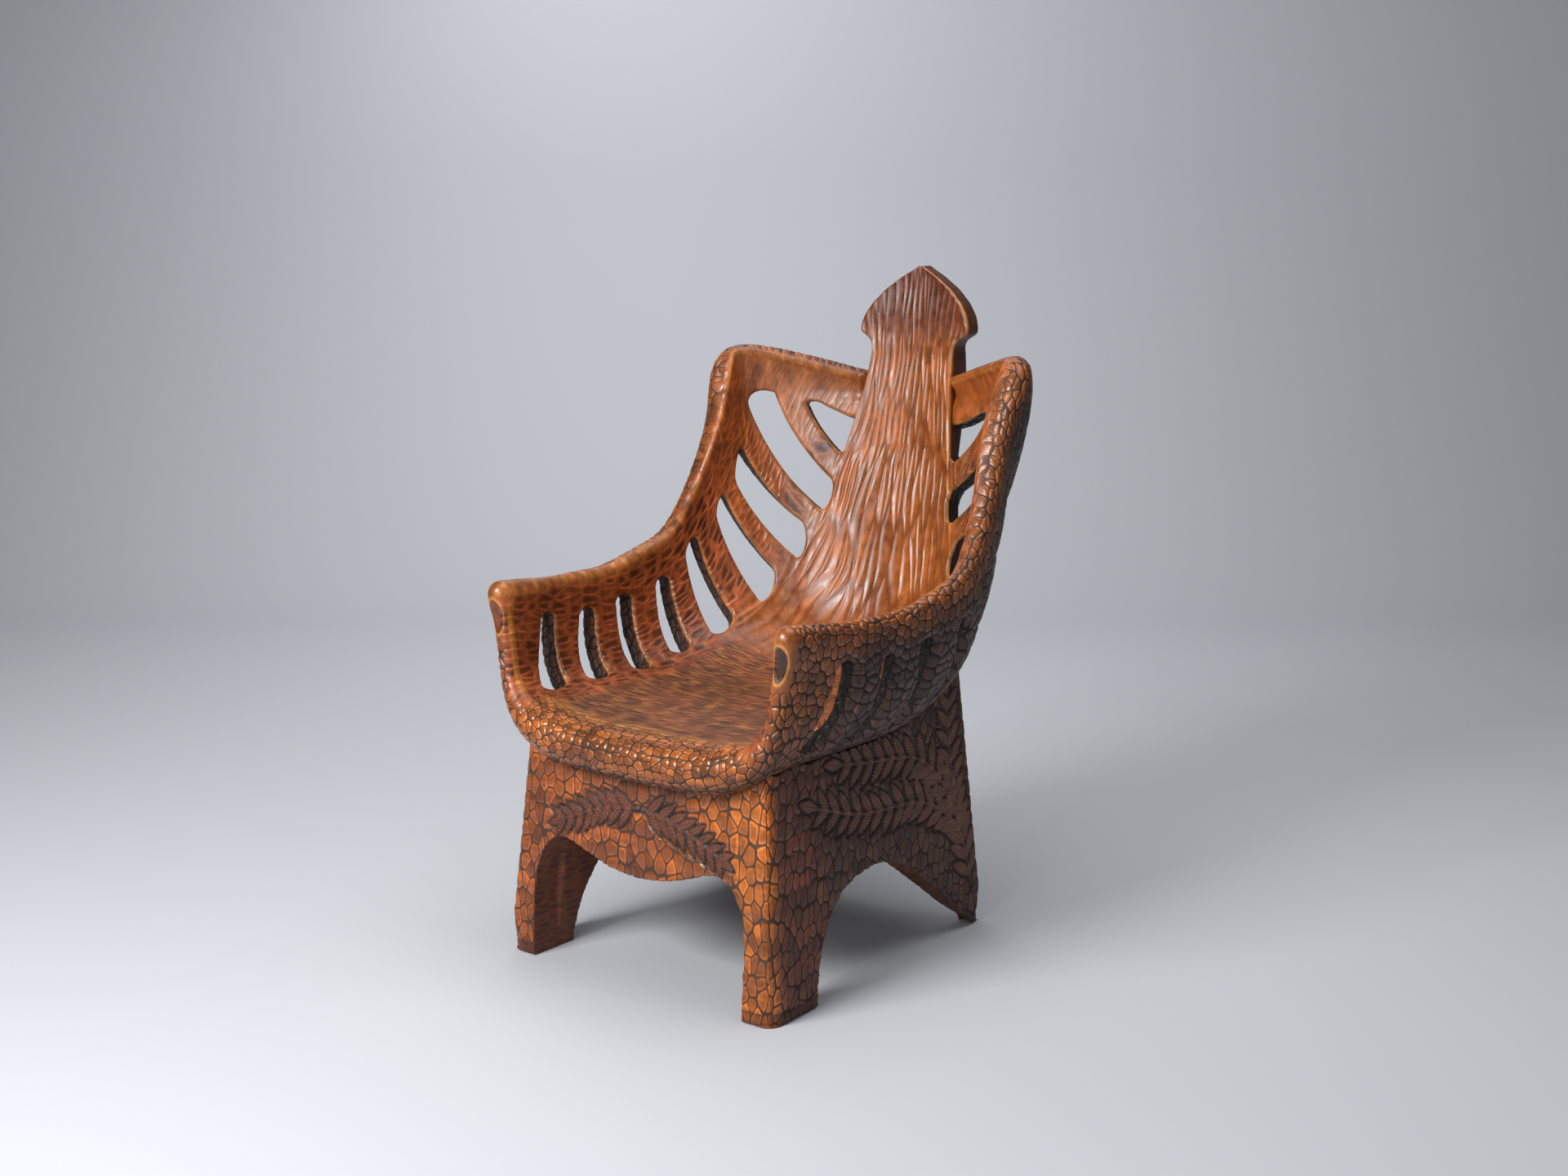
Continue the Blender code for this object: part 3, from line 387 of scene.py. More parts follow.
def fine_columns():
    """Columns of the grid: stations and shares of foot and top, flare of each side, slot or -1 on a rib."""
    columns = []

    def rib(first, second):
        ends = np.array((first, second))
        lengths = [
            look_up(LENGTHS, ends[:, k], np.full(2, share))[:, 0] for k, share in enumerate(RIB_SHARES)
        ]
        step = GRID_STEP * (BACK_COARSER if first[0] > BACK_STATION else 1.0)
        steps = max(3, math.ceil(max(abs(np.diff(pair)[0]) for pair in lengths) / step))
        for k in range(steps):
            share = k / steps
            eased = smooth_step(share, 0.0, 1.0)
            stations = mix(ends[0, :2], ends[1, :2], share)
            flares = mix(ends[0, 4:], ends[1, 4:], share)
            columns.append((*stations, *mix(ends[0, 2:4], ends[1, 2:4], eased), *flares, -1))

    before = None
    fronts, rears = np.array(SLOT_FLARES).T
    for number, (foot, foot_width, top, top_width, low, high) in enumerate(SLOTS):
        left = np.array((
            foot - foot_width / 2, top - top_width / 2, low + SLOT_ROUNDING, high - SLOT_ROUNDING, *-fronts
        ))
        right = left + (foot_width, top_width, 0.0, 0.0, *(fronts + rears))
        rib((0.0, 0.0, *left[2:4], 0.0, 0.0) if before is None else before, left)
        for k in range(SLOT_STEPS):
            share = 0.5 - 0.5 * math.cos(math.pi * k / SLOT_STEPS)
            round_off = SLOT_ROUNDING * math.sqrt(1.0 - (2.0 * share - 1.0) ** 2)
            here = mix(left, right, share)
            columns.append((*here[:2], here[2] - round_off, here[3] + round_off, *here[4:], number))
        before = right
    end = (LAST, LAST, *before[2:4], 0.0, 0.0)
    rib(before, end)
    columns.append((*end, -1))
    return columns


class Points:
    """Points of a carved surface: place, direction out of the wood, and what the carving needs to know."""

    FIELDS = ("place", "out", "u", "v", "s", "t", "layer", "round", "wall", "side", "inward")

    def __init__(self):
        self.parts = {name: [] for name in self.FIELDS}
        self.count = 0

    def add(self, **values):
        shape = values["place"].shape[:-1]
        first = self.count
        for name in self.FIELDS:
            value = np.asarray(values.get(name, 0.0), float)
            width = (3,) if name in ("place", "out") else ()
            value = np.broadcast_to(value, shape + width).reshape((-1,) + width)
            self.parts[name].append(value)
        self.count += int(np.prod(shape))
        return first + np.arange(self.count - first).reshape(shape)

    def join(self):
        for name in self.FIELDS:
            setattr(self, name, np.concatenate(self.parts[name]))


def strip_faces(first, second):
    """Quads between two lines of point numbers."""
    return np.stack([first[:-1], second[:-1], second[1:], first[1:]], -1)


def sheet_faces(grid):
    """Quads of a grid of point numbers."""
    quads = np.stack([grid[:-1, :-1], grid[1:, :-1], grid[1:, 1:], grid[:-1, 1:]], -1)
    return quads.reshape(-1, 4)


def slot_spans(slot, rows):
    """For each slot on each side: way from the spine, end columns, nearest and farthest row."""
    for number in range(len(SLOTS)):
        first = int(np.argmax(slot == number))
        for way in (-1, 1):
            near = rows + way * FAN_STEPS
            yield way, first, first + SLOT_STEPS, near, near + way * SLOT_ROW_STEPS


def slot_loops(slot, rows):
    """The grid points round each slot, and how far the wood is scooped away outside along each side."""
    loops = []
    for way, first, last, near, far in slot_spans(slot, rows):
        sides = (
            ([(c, near) for c in range(first, last)], SCOOP_BELOW),
            ([(last, r) for r in range(near, far, way)], SCOOP_BEHIND[way]),
            ([(c, far) for c in range(last, first, -1)], SCOOP_ABOVE),
            ([(first, r) for r in range(far, near, -way)], SCOOP_BEFORE),
        )
        loop = np.array([place for line, _ in sides for place in line])
        scoop = np.concatenate([np.full(len(line), reach) for line, reach in sides])
        loops.append((loop, running_mean(np.pad(scoop, SCOOP_SMOOTHING, "wrap"), SCOOP_SMOOTHING)))
    return loops


def running_mean(values, reach):
    """Mean of each value and its neighbours within the reach, for values that have a margin as wide."""
    width = 2 * reach + 1
    return np.convolve(values, np.ones(width) / width, "valid")


def edge_distance(places, wanted, lines, values):
    """Distance of each wanted grid point to the nearest edge point, and that edge point's value."""
    tree = KDTree(len(lines))
    for k, point in enumerate(lines):
        tree.insert(point, k)
    tree.balance()
    away = np.full(wanted.shape, 1.0)
    value = np.full(wanted.shape, values[0])
    for c, r in zip(*np.nonzero(wanted)):
        _, k, distance = tree.find(places[c, r])
        away[c, r], value[c, r] = distance, values[k]
    return away, value


def eased(away, reach, deepest):
    """How far a rounded edge drops at a distance from it."""
    inside = np.clip(1.0 - away / reach, 0.0, 1.0)
    return deepest * (1.0 - np.sqrt(1.0 - inside * inside))


def tub():
    """The pierced shell: its points, quads, and the two caps behind the neck."""
    columns = fine_columns()
    count = len(columns)
    foot, top, low, high, *flares = (np.array([c[k] for c in columns])[:, None] for k in range(6))
    slot = np.array([c[6] for c in columns])
    t = low * np.linspace(0.0, 1.0, FAN_STEPS + 1)
    t = np.concatenate([t, mix(low, high, np.linspace(0.0, 1.0, SLOT_ROW_STEPS + 1)[1:])], axis=1)
    t = np.concatenate([t, mix(high, 1.0, np.linspace(0.0, 1.0, RAIL_STEPS + 1)[1:])], axis=1)
    s = mix(foot, top, np.clip((t - low) / (high - low), 0.0, 1.0))
    beside = smooth_step(t, 0.75 * low, low) * fade(t, high, 1.0)
    beside = beside * fade(s, *FLARE_STATIONS)
    s_left, s_right = (s + flare * beside for flare in flares)
    rows = t.shape[1] - 1
    s_out = np.concatenate([s_right[:, :0:-1], s_left], axis=1)
    s, t = (np.concatenate([x[:, :0:-1], x], axis=1) for x in (s, t))
    side = np.concatenate([-np.ones(rows), np.ones(rows + 1)])[None, :] * np.ones_like(s)
    flip = np.stack([side, np.ones_like(s), np.ones_like(s)], -1)
    flip[:, rows, 0] = 0.0

    def surface(stations):
        tables = (CENTRE, ALONG, ACROSS, NORMAL)
        centre, along, across, normal = (look_up(table, stations, t) * flip for table in tables)
        lengths = look_up(LENGTHS, stations, t)
        facts = {"u": lengths[..., 0], "v": lengths[..., 1] * side, "s": stations, "t": t, "side": side}
        return centre, along, across, unit(normal), thickness(stations, t) / 2.0, facts

    centre, along, across, normal, half, known = surface(s)
    centre_out, _, _, normal_out, half_out, known_out = surface(s_out)
    points = Points()

    # Softened edges of the slots: crisp inside, broad scoops outside.
    loops = slot_loops(slot, rows)
    every = tuple(np.concatenate([loop for loop, _ in loops]).T)
    scoops = np.concatenate([scoop for _, scoop in loops])
    near_slots = (t > NEAR_SLOT_SHARES[0]) & (t < NEAR_SLOT_SHARES[1])
    skin_in = centre + normal * half[..., None]
    skin_out = centre_out - normal_out * half_out[..., None]
    away, _ = edge_distance(skin_in, near_slots, skin_in[every], scoops)
    away_out, reach = edge_distance(skin_out, near_slots, skin_out[every], scoops)
    reach = mix(reach, SCOOP_AT_BACK, smooth_step(s, *FLARE_STATIONS))
    away[every] = 0.0
    away_out[every] = 0.0
    deepest = np.minimum(SCOOP_SLOPE * reach, SCOOP_DEEPEST)
    drop_in, drop_out = eased(away, EDGE_RADIUS, EDGE_RADIUS), eased(away_out, reach, deepest)
    inner = points.add(
        place=skin_in - normal * drop_in[..., None], out=normal, layer=1.0,
        round=drop_in / EDGE_RADIUS, **known,
    )
    outer = points.add(
        place=skin_out + normal_out * drop_out[..., None], out=-normal_out, layer=-1.0,
        round=drop_out / deepest, **known_out,
    )
    quads = []
    cell_open = np.zeros((count - 1, 2 * rows), bool)
    for _, first, last, near, far in slot_spans(slot, rows):
        cell_open[first:last, min(near, far):max(near, far)] = True
    for grid, turn in ((inner, 1), (outer, -1)):
        faces = sheet_faces(grid)[~cell_open.reshape(-1)]
        quads.append(faces[:, ::turn])

    def bridge(c, r, facts, **given):
        """Lines of new points from the inner to the outer skin."""
        lines = points.add(**given, **{name: values[c, r][:, None] for name, values in facts.items()})
        return np.concatenate([inner[c, r][:, None], lines, outer[c, r][:, None]], axis=1)

    # Walls of the slots.
    places = np.concatenate(points.parts["place"])
    shares = np.arange(1, WALL_STEPS) / WALL_STEPS
    for loop, _ in loops:
        c, r = loop.T
        start, stop = places[inner[c, r]], places[outer[c, r]]
        place = mix(start[:, None, :], stop[:, None, :], shares[None, :, None])
        out = place.mean(axis=0)[None] - place
        out = out - (out * normal[c, r][:, None, :]).sum(-1, keepdims=True) * normal[c, r][:, None, :]
        out = out / np.maximum(np.linalg.norm(out, axis=-1, keepdims=True), 1e-9)
        u = known_out["u"][c, r][:, None]
        inward = np.where(u > u.mean(), -1.0, 1.0) * 2.0 * half[c, r][:, None] * (1.0 - shares)[None, :]
        layer = 1.0 - 2.0 * shares[None, :]
        lines = bridge(c, r, known_out, place=place, out=out, layer=layer, wall=1.0, inward=inward)
        faces = sheet_faces(np.concatenate([lines, lines[:1]]))
        quads.append(faces if side[c[0], r[0]] > 0 else faces[:, ::-1])

    # Rounded top of the rail, rounded front of the seat and the arms, and the knobs where both meet.
    angles = np.pi * np.arange(1, ROUND_STEPS) / ROUND_STEPS

    def rounded(c, r, outward):
        base, turn = normal[c, r][:, None, :], angles[None, :]
        crisp = mix(1.0, RAIL_ROUNDNESS, smooth_step(s[c, r], *ROUNDNESS_STATIONS))[:, None]
        crisp = np.where(np.cos(turn) > 1e-9, crisp, 1.0)
        inwards = np.sign(np.cos(turn)) * np.abs(np.cos(turn)) ** crisp
        offset = inwards[..., None] * base + (np.sin(turn) ** crisp)[..., None] * outward[:, None, :]
        place = centre[c, r][:, None, :] + half[c, r][:, None, None] * offset
        return bridge(c, r, known, place=place, out=unit(offset), layer=np.cos(angles)[None, :])

    every_column, every_row = np.arange(count), np.arange(2 * rows + 1)
    front = rounded(np.zeros(2 * rows + 1, int), every_row, -along[0])
    quads.append(sheet_faces(front)[:, ::-1])
    caps = []
    for edge, turn in ((2 * rows, 1), (0, -1)):
        outward = across[:, edge]
        tops = rounded(every_column, np.full(count, edge), outward)
        quads.append(sheet_faces(tops)[:, ::turn])
        between = []
        for k in range(1, CORNER_STEPS):
            angle = math.pi / 2.0 * k / CORNER_STEPS
            way = math.cos(angle) * -along[0, edge] + math.sin(angle) * outward[0]
            between.append(rounded(np.array([0]), np.array([edge]), way[None])[0])
        fan = np.stack([front[edge], *between, tops[0]])
        quads.append(sheet_faces(fan)[:, ::turn])
        caps.append(tops[-1][::turn])
    # Flat end behind the neck.
    quads.append(strip_faces(inner[-1], outer[-1])[:, ::-1])
    points.join()
    behind_splat(points)
    return points, np.concatenate(quads), caps


def splat_section(z):
    """Half-width, front edge, dish and thickness of the splat at heights."""
    return (np.interp(z, SPLAT_STATIONS[:, 0], SPLAT_STATIONS[:, k]) for k in range(1, 5))


def behind_splat(points):
    """Keeps the ends of the rails behind the splat's front."""
    x, y, z = points.place.T
    width, edge, dish, _ = splat_section(z)
    front = edge + dish * (1.0 - np.clip(x / width, -1.0, 1.0) ** 2)
    inside = (np.abs(x) < width - 0.001) & (z > NECK_HEIGHT)
    points.place[:, 1] = np.where(inside, np.maximum(y, front + NECK_COVER), y)


# Cells and cuts. The same flat pattern is read here for the carving and in the materials for fine lines.

def read_cells(at):
    """Cells of the Voronoi texture at flat places: distance to the cell's edge, and three random tones."""
    count = len(at)
    mesh = bpy.data.meshes.new("probe")
    mesh.vertices.add(count)
    flat = np.zeros((count, 3), np.float32)
    flat[:, :2] = at
    mesh.vertices.foreach_set("co", flat.ravel())
    tree = bpy.data.node_groups.new("probe", "GeometryNodeTree")
    for way in ("INPUT", "OUTPUT"):
        tree.interface.new_socket("Geometry", in_out=way, socket_type="NodeSocketGeometry")
    nodes, links = tree.nodes, tree.links
    where = nodes.new("GeometryNodeInputPosition")
    flow = nodes.new("NodeGroupInput").outputs[0]
    for name, feature, kind in (("Distance", "DISTANCE_TO_EDGE", "FLOAT"), ("Color", "F1", "FLOAT_VECTOR")):
        voronoi = nodes.new("ShaderNodeTexVoronoi")
        set_voronoi(voronoi, feature)
        links.new(where.outputs[0], voronoi.inputs["Vector"])
        keep = nodes.new("GeometryNodeStoreNamedAttribute")
        keep.data_type = kind
        keep.inputs["Name"].default_value = name
        links.new(flow, keep.inputs["Geometry"])
        links.new(voronoi.outputs[name], keep.inputs["Value"])
        flow = keep.outputs["Geometry"]
    links.new(flow, nodes.new("NodeGroupOutput").inputs[0])
    probe = bpy.data.objects.new("probe", mesh)
    bpy.context.scene.collection.objects.link(probe)
    probe.modifiers.new("read", "NODES").node_group = tree
    read = probe.evaluated_get(bpy.context.evaluated_depsgraph_get()).data
    gap = read_all(read.attributes["Distance"].data, "value")[:, 0]
    tone = read_all(read.attributes["Color"].data, "vector", width=3)
    bpy.data.objects.remove(probe)
    bpy.data.meshes.remove(mesh)
    bpy.data.node_groups.remove(tree)
    return gap, tone


def set_voronoi(node, feature):
    """The settings that carving and materials share."""
    node.voronoi_dimensions = "2D"
    node.feature = feature
    node.inputs["Scale"].default_value = 1.0
    node.inputs["Randomness"].default_value = CELL_JITTER


def cell_relief(gap, dome):
    """Depth of a cell-carved ground: a groove round each cell, and cells that swell to their middles."""
    groove = fade(gap, 0.03, 0.12)
    return GROOVE_DEPTH * groove + dome * fade(gap, 0.05, 0.40) ** 2


def cut_relief(gap, tone, depth):
    """Depth of gouge cuts, hollow in the middle, with ridges between them."""
    return depth * smooth_step(gap, 0.0, 0.42) * mix(0.6, 1.4, tone)


def flat_places(u, v):
    return np.stack([u, v], axis=-1)


def slanted_places(u, v, slant, size):
    """Flat places of cuts of a size that slant across u and v."""
    return flat_places((u + slant * v) / size[0], (v - slant * u) / size[1])


# Carving. Depths go into the wood, so nothing stands out beyond the part.

def fan_width(z):
    """Half-width of the fan of flutes at a height: it narrows to the neck and spreads to the seat."""
    heights = (0.36, 0.42, 0.47, 0.56, 0.64, 0.70, 0.76, 0.835, 0.90, 0.94, 0.975, 1.1)
    widths = (0.34, 0.26, 0.205, 0.160, 0.140, 0.127, 0.115, 0.100, 0.090, 0.0865, 0.092, 0.100)
    return np.interp(z, heights, widths)


def flute_places(x, z, length):
    """Flat places of the flutes, which run from the neck down to the seat."""
    wave = 0.0020 * np.sin(length * 20.0 + 50.0 * x) + 0.0008 * np.sin(length * 47.0 - 80.0 * x)
    across = x / fan_width(z) * 0.100 + wave
    return slanted_places(across, length, 0.0, FLUTE_SIZE)


SPINE_STATIONS = np.linspace(FAN_STATIONS[0], LAST, 121)
SPINE_HEIGHTS = spline(SPINE_LINE, SPINE_STATIONS)[:, 1]
SPINE_LENGTHS = look_up(LENGTHS, SPINE_STATIONS, np.zeros_like(SPINE_STATIONS))[:, 0]


def painted(base, tone, spread):
    """A colour for each point, lighter and darker by a random tone."""
    return base * np.exp(spread * (tone - 0.5))[:, None]


def varied(colour, low, high, share):
    """A colour for each point, between a low and a high strength."""
    return colour * mix(low, high, share)[:, None]


def blend(first, second, share):
    return first + (second - first) * np.asarray(share)[:, None]


def flute_paint(place):
    """Orange-amber flutes with streaks and stains along them."""
    streak = noise(place, (0.0060, 0.012, 0.070), 72)
    colour = varied(AMBER * (0.77, 0.74, 0.58), 0.88, 1.08, streak)
    stain = smooth_step(noise(place, (0.012, 0.030, 0.090), 73), 0.62, 0.82)
    return blend(colour, RED_BROWN * 0.75, 0.3 * stain)


def carve_tub(p):
    """Depth and painted facts for each point of the tub."""
    x, y, z = p.place.T
    count = len(x)
    half = thickness(p.s, p.t) / 2.0
    turn = np.arccos(np.clip(p.layer, -1.0, 1.0))
    from_outer = (math.pi - turn) * half
    inside = smooth_step(p.layer, -0.1, 0.5) * (1.0 - p.wall)
    left = p.side > 0.0
    at_front = p.s <= 1e-9
    at_rail = (p.t >= 1.0 - 1e-9) & ~at_front
    on_roll = fade(p.u, *ROLL_DEPTHS) * fade(p.t, *ROLL_END_SHARES)
    on_wall = smooth_step(p.t, *WALL_SHARES)
    rear = smooth_step(p.s, *REAR_STATIONS)
    on_fan = smooth_step(p.s, *FAN_STATIONS) * fade(np.abs(x) / fan_width(z), *FAN_EDGES)
    on_fan = np.maximum(on_fan, smooth_step(p.s, *FAN_FOOT_STATIONS) * fade(p.t, *FAN_FOOT_SHARES))

    # Cells run on from the outside over the roll, over the rail and into the slots.
    cu = np.where(p.layer > 0.999, -math.pi * half - p.u, np.where(at_front, -from_outer, p.u + p.inward))
    cv = np.where(at_rail, p.v + p.side * from_outer, p.v)
    cu = np.minimum(cu, FINE_REACH) / FINE_SIZE + np.maximum(cu - FINE_REACH, 0.0) / BROAD_SIZE
    cell_at = flat_places(cu, cv / CELL_HEIGHT)
    worn_roll = bump(p.u, 0.036, 0.034) * on_roll * inside
    cell_share = np.maximum(1.0 - inside, on_roll) * (1.0 - 0.6 * worn_roll)
    cell_share = cell_share * np.where(at_front, fade(p.t, 0.80, 0.86), 1.0)

    # Inside, each place has one kind of cut: strokes on the seat, facets on the walls, gouges on the rear
    # walls, flutes on the fan. Cuts fade out where one kind meets another.
    strokes = slanted_places(x, y, STROKE_SLANT, STROKE_SIZE)
    facets = slanted_places(p.u, p.v, 0.0, FACET_SIZE)
    gouges = slanted_places(p.u, p.v, GOUGE_SLANT, GOUGE_SIZE)
    facets = np.where((rear > 0.5)[:, None], gouges, facets)
    cut_at = np.where((on_wall > 0.5)[:, None], facets, strokes)
    length = np.interp(z, SPINE_HEIGHTS, SPINE_LENGTHS)
    cut_at = np.where((on_fan > 0.5)[:, None], flute_places(x, z, length), cut_at)
    clear = np.abs(2.0 * on_fan - 1.0)
    clear = clear * np.where(on_fan < 0.5, np.abs(2.0 * on_wall - 1.0), 1.0)
    clear = clear * np.where((on_fan < 0.5) & (on_wall > 0.5), np.abs(2.0 * rear - 1.0), 1.0)
    smooth_side = np.where(left, smooth_step(p.s, *SMOOTH_STATIONS), 0.0) * on_wall
    panel = smooth_step(p.s, *PANEL_STATIONS)
    cut_share = inside * (1.0 - on_roll) * smooth_step(clear, 0.0, 0.5) * (1.0 - 0.8 * smooth_side)
    cut_share = cut_share * mix(1.0, 0.55, panel * on_wall * (1.0 - on_fan))
    cut_depth = mix(FACET_DEPTH, mix(GOUGE_DEPTH, PANEL_GOUGE_DEPTH, panel), rear)
    cut_depth = mix(mix(STROKE_DEPTH, cut_depth, on_wall), FLUTE_DEPTH, on_fan)

    cell_gap, _ = read_cells(cell_at)
    cut_gap, cut_tone = read_cells(cut_at)
    dome = np.where(p.t < 0.55, SEAT_DOME, WALL_DOME)
    depth = cell_relief(cell_gap, dome) * cell_share
    depth = depth + cut_relief(cut_gap, cut_tone[:, 0], cut_depth) * cut_share
    lean = smooth_step(p.t, *PANEL_LEAN_SHARES) * smooth_step(p.s, *PANEL_LEAN_STATIONS)
    lean = lean * np.clip(p.layer, 0.0, 1.0) ** 1.5
    depth = depth + PANEL_CUT * lean * (1.0 - p.wall)

    # Ground colours outside, with painted light and shade: amber where the front and the rail's top face the
    # light, a shaded dark brown elsewhere, and darker still on faces that look down.
    warm = np.maximum(fade(p.u, 0.04, 0.15), smooth_step(p.t, 0.90, 1.0))
    warm = warm * np.where(p.t < 0.62, 1.0, 0.75)
    underside_shade = smooth_step(-p.out[:, 2], 0.2, 0.9)
    outside = blend(SHADED_OUTSIDE_BROWN, AMBER * 0.74, warm * (1.0 - 0.75 * underside_shade))
    outside = varied(outside, 0.70, 1.25, noise(p.place, 0.055, 13))
    outside = blend(outside, HONEY * 0.72, 0.75 * worn_roll)
    # Dark stain where a seam crosses the roll.
    stained = bump(x + SEAT_SEAM_X, 0.004, 0.018) * mix(0.3, 1.0, noise(p.place, 0.012, 14))
    outside = blend(outside, RED_BROWN * 0.35, 0.85 * stained * fade(p.s, 0.2, 0.5))

    # Ground colours inside.
    walls = varied(RED_BROWN * 1.60, 0.62, 1.30, noise(p.place, 0.045, 23))
    walls = blend(walls, AMBER * 0.8, 0.45 * rear)
    # The back panel at the sitter's right is painted paler: partly paler wood, partly a painted sheen.
    walls = blend(walls, PALE_AND_SHEEN, 0.6 * panel * ~left)
    scratch = noise(p.place, (0.050, 0.0030, 0.0030), 32)
    seat = varied(SEAT_BROWN * 0.93, 0.25, 1.65, scratch)
    seat = varied(seat, 0.62, 1.25, noise(p.place, 0.075, 33))
    patch = smooth_step(noise(p.place, (0.10, 0.03, 0.03), 36), 0.5, 0.8)
    seat = blend(seat, RED_BROWN * 0.8, 0.5 * patch)
    hair = bump(noise(p.place, (0.11, 0.010, 0.010), 34), 0.5, 0.036)
    seat = blend(seat, HONEY * 0.8, 0.55 * hair)
    within = blend(blend(seat, walls, on_wall), flute_paint(p.place), on_fan)
    # Worn honey along the rail's rim, the slots' edges and the arms' front corners.
    worn = 0.70 * smooth_step(p.t, 0.975, 1.0) * fade(p.s, 3.5, 5.5)
    worn = np.maximum(worn, 0.80 * at_rail * bump(p.layer, 0.80, 0.25))
    worn = np.maximum(worn, 0.45 * bump(p.u, 0.046, 0.018) * fade(p.t, 0.45, 0.6))
    worn = worn * mix(0.25, 1.0, noise(p.place, 0.016, 35))
    hidden = left & (p.s < 6.0)
    worn = np.maximum(worn, np.where(hidden, 0.0, 0.80) * smooth_step(p.round, 0.03, 0.35))
    from_corner = np.where(at_front, smooth_step(turn / math.pi, 0.10, 0.20), smooth_step(p.u, 0.002, 0.008))
    worn = np.maximum(worn, 0.90 * (1.0 - from_corner) * smooth_step(p.t, 0.56, 0.66))
    within = blend(within, HONEY, worn)
    within = blend(within, outside, on_roll)
    paint = blend(outside, within, inside)
    edge_within = blend(HONEY * 0.62, RED_BROWN * (1.5, 1.6, 1.5), on_wall)
    edge_within = blend(edge_within, RED_BROWN * 0.55, on_fan)
    edge = blend(NEAR_BLACK, edge_within, inside * (1.0 - on_roll))
    dark = inside * mix(0.95, mix(0.95, 0.25, rear), on_wall) * (1.0 - on_fan) * (1.0 - worn)

    # Dark almond facet on each arm's front end, with a worn honey border.
    off = (np.stack([p.t, turn / math.pi]).T - ALMOND_PLACE) / ALMOND_SIZE
    almond = np.where(at_front, np.hypot(*off.T), 9.0)
    near = np.where(almond < 1.6, 1.0, 0.0)
    depth = mix(depth, ALMOND_DEPTH * fade(almond, 0.60, 1.05), near)
    facet = blend(RED_BROWN * 0.75, RED_BROWN * 0.20, left)
    facet = varied(facet, 0.6, 1.3, noise(p.place, (0.006, 0.006, 0.03), 37))
    border = blend(facet, HONEY, smooth_step(almond, 0.90, 1.0))
    paint = blend(paint, border, near * fade(almond, 1.04, 1.18))

    # Slots: walls painted dark as painted shade, near black at the sitter's left, brown and cell-carved
    # towards the outside. The scoops round them carry painted shade at the slot and a painted highlight at
    # their rims.
    slot_wall_shade = painted(RED_BROWN * 0.38, noise(p.place, 0.008, 41), 0.9)
    shown = np.where(left, smooth_step(-p.layer, 0.6, 1.15), smooth_step(-p.layer, -0.5, 0.7))
    slot_wall_shade = blend(slot_wall_shade, NEAR_BLACK, 0.95 * left)
    slot_wall_shade = blend(slot_wall_shade, SHADED_OUTSIDE_BROWN * 0.95, shown)
    paint = blend(paint, slot_wall_shade, p.wall)
    depth = np.where(p.wall > 0.5, depth * smooth_step(1.0 - np.abs(p.layer), 0.0, 0.3), depth)
    outward = (1.0 - inside) * (1.0 - p.wall)
    # Painted highlight along the scoops' rims, and painted shade deep in the scoops beside the holes.
    paint = blend(paint, SHADED_OUTSIDE_BROWN * 2.8, 0.60 * bump(p.round, 0.06, 0.06) * outward)
    paint = blend(paint, GROOVE_AND_SHADE_DARK, 0.60 * smooth_step(p.round, 0.40, 1.00) * outward)
    gloss = np.maximum(on_fan, 0.8 * on_wall) * inside
    rough = mix(0.42, 0.34, gloss)
    rough = mix(rough, 0.50, (1.0 - on_wall) * (1.0 - on_fan) * inside * (1.0 - on_roll))
    rough = mix(rough, 0.28, np.maximum((1.0 - inside) * warm, on_roll * inside))
    rough = mix(rough, 0.20, worn * inside * on_wall)
    rough = mix(rough, 0.55, p.wall)
    return depth, {
        "paint": paint, "edge": edge, "dull": rough, "cell_at": cell_at, "cell_share": cell_share,
        "cut_at": cut_at, "cut_share": cut_share, "cut_dark": dark,
        "vein_at": np.zeros(count), "vein_share": np.zeros(count),
    }


# Splat.

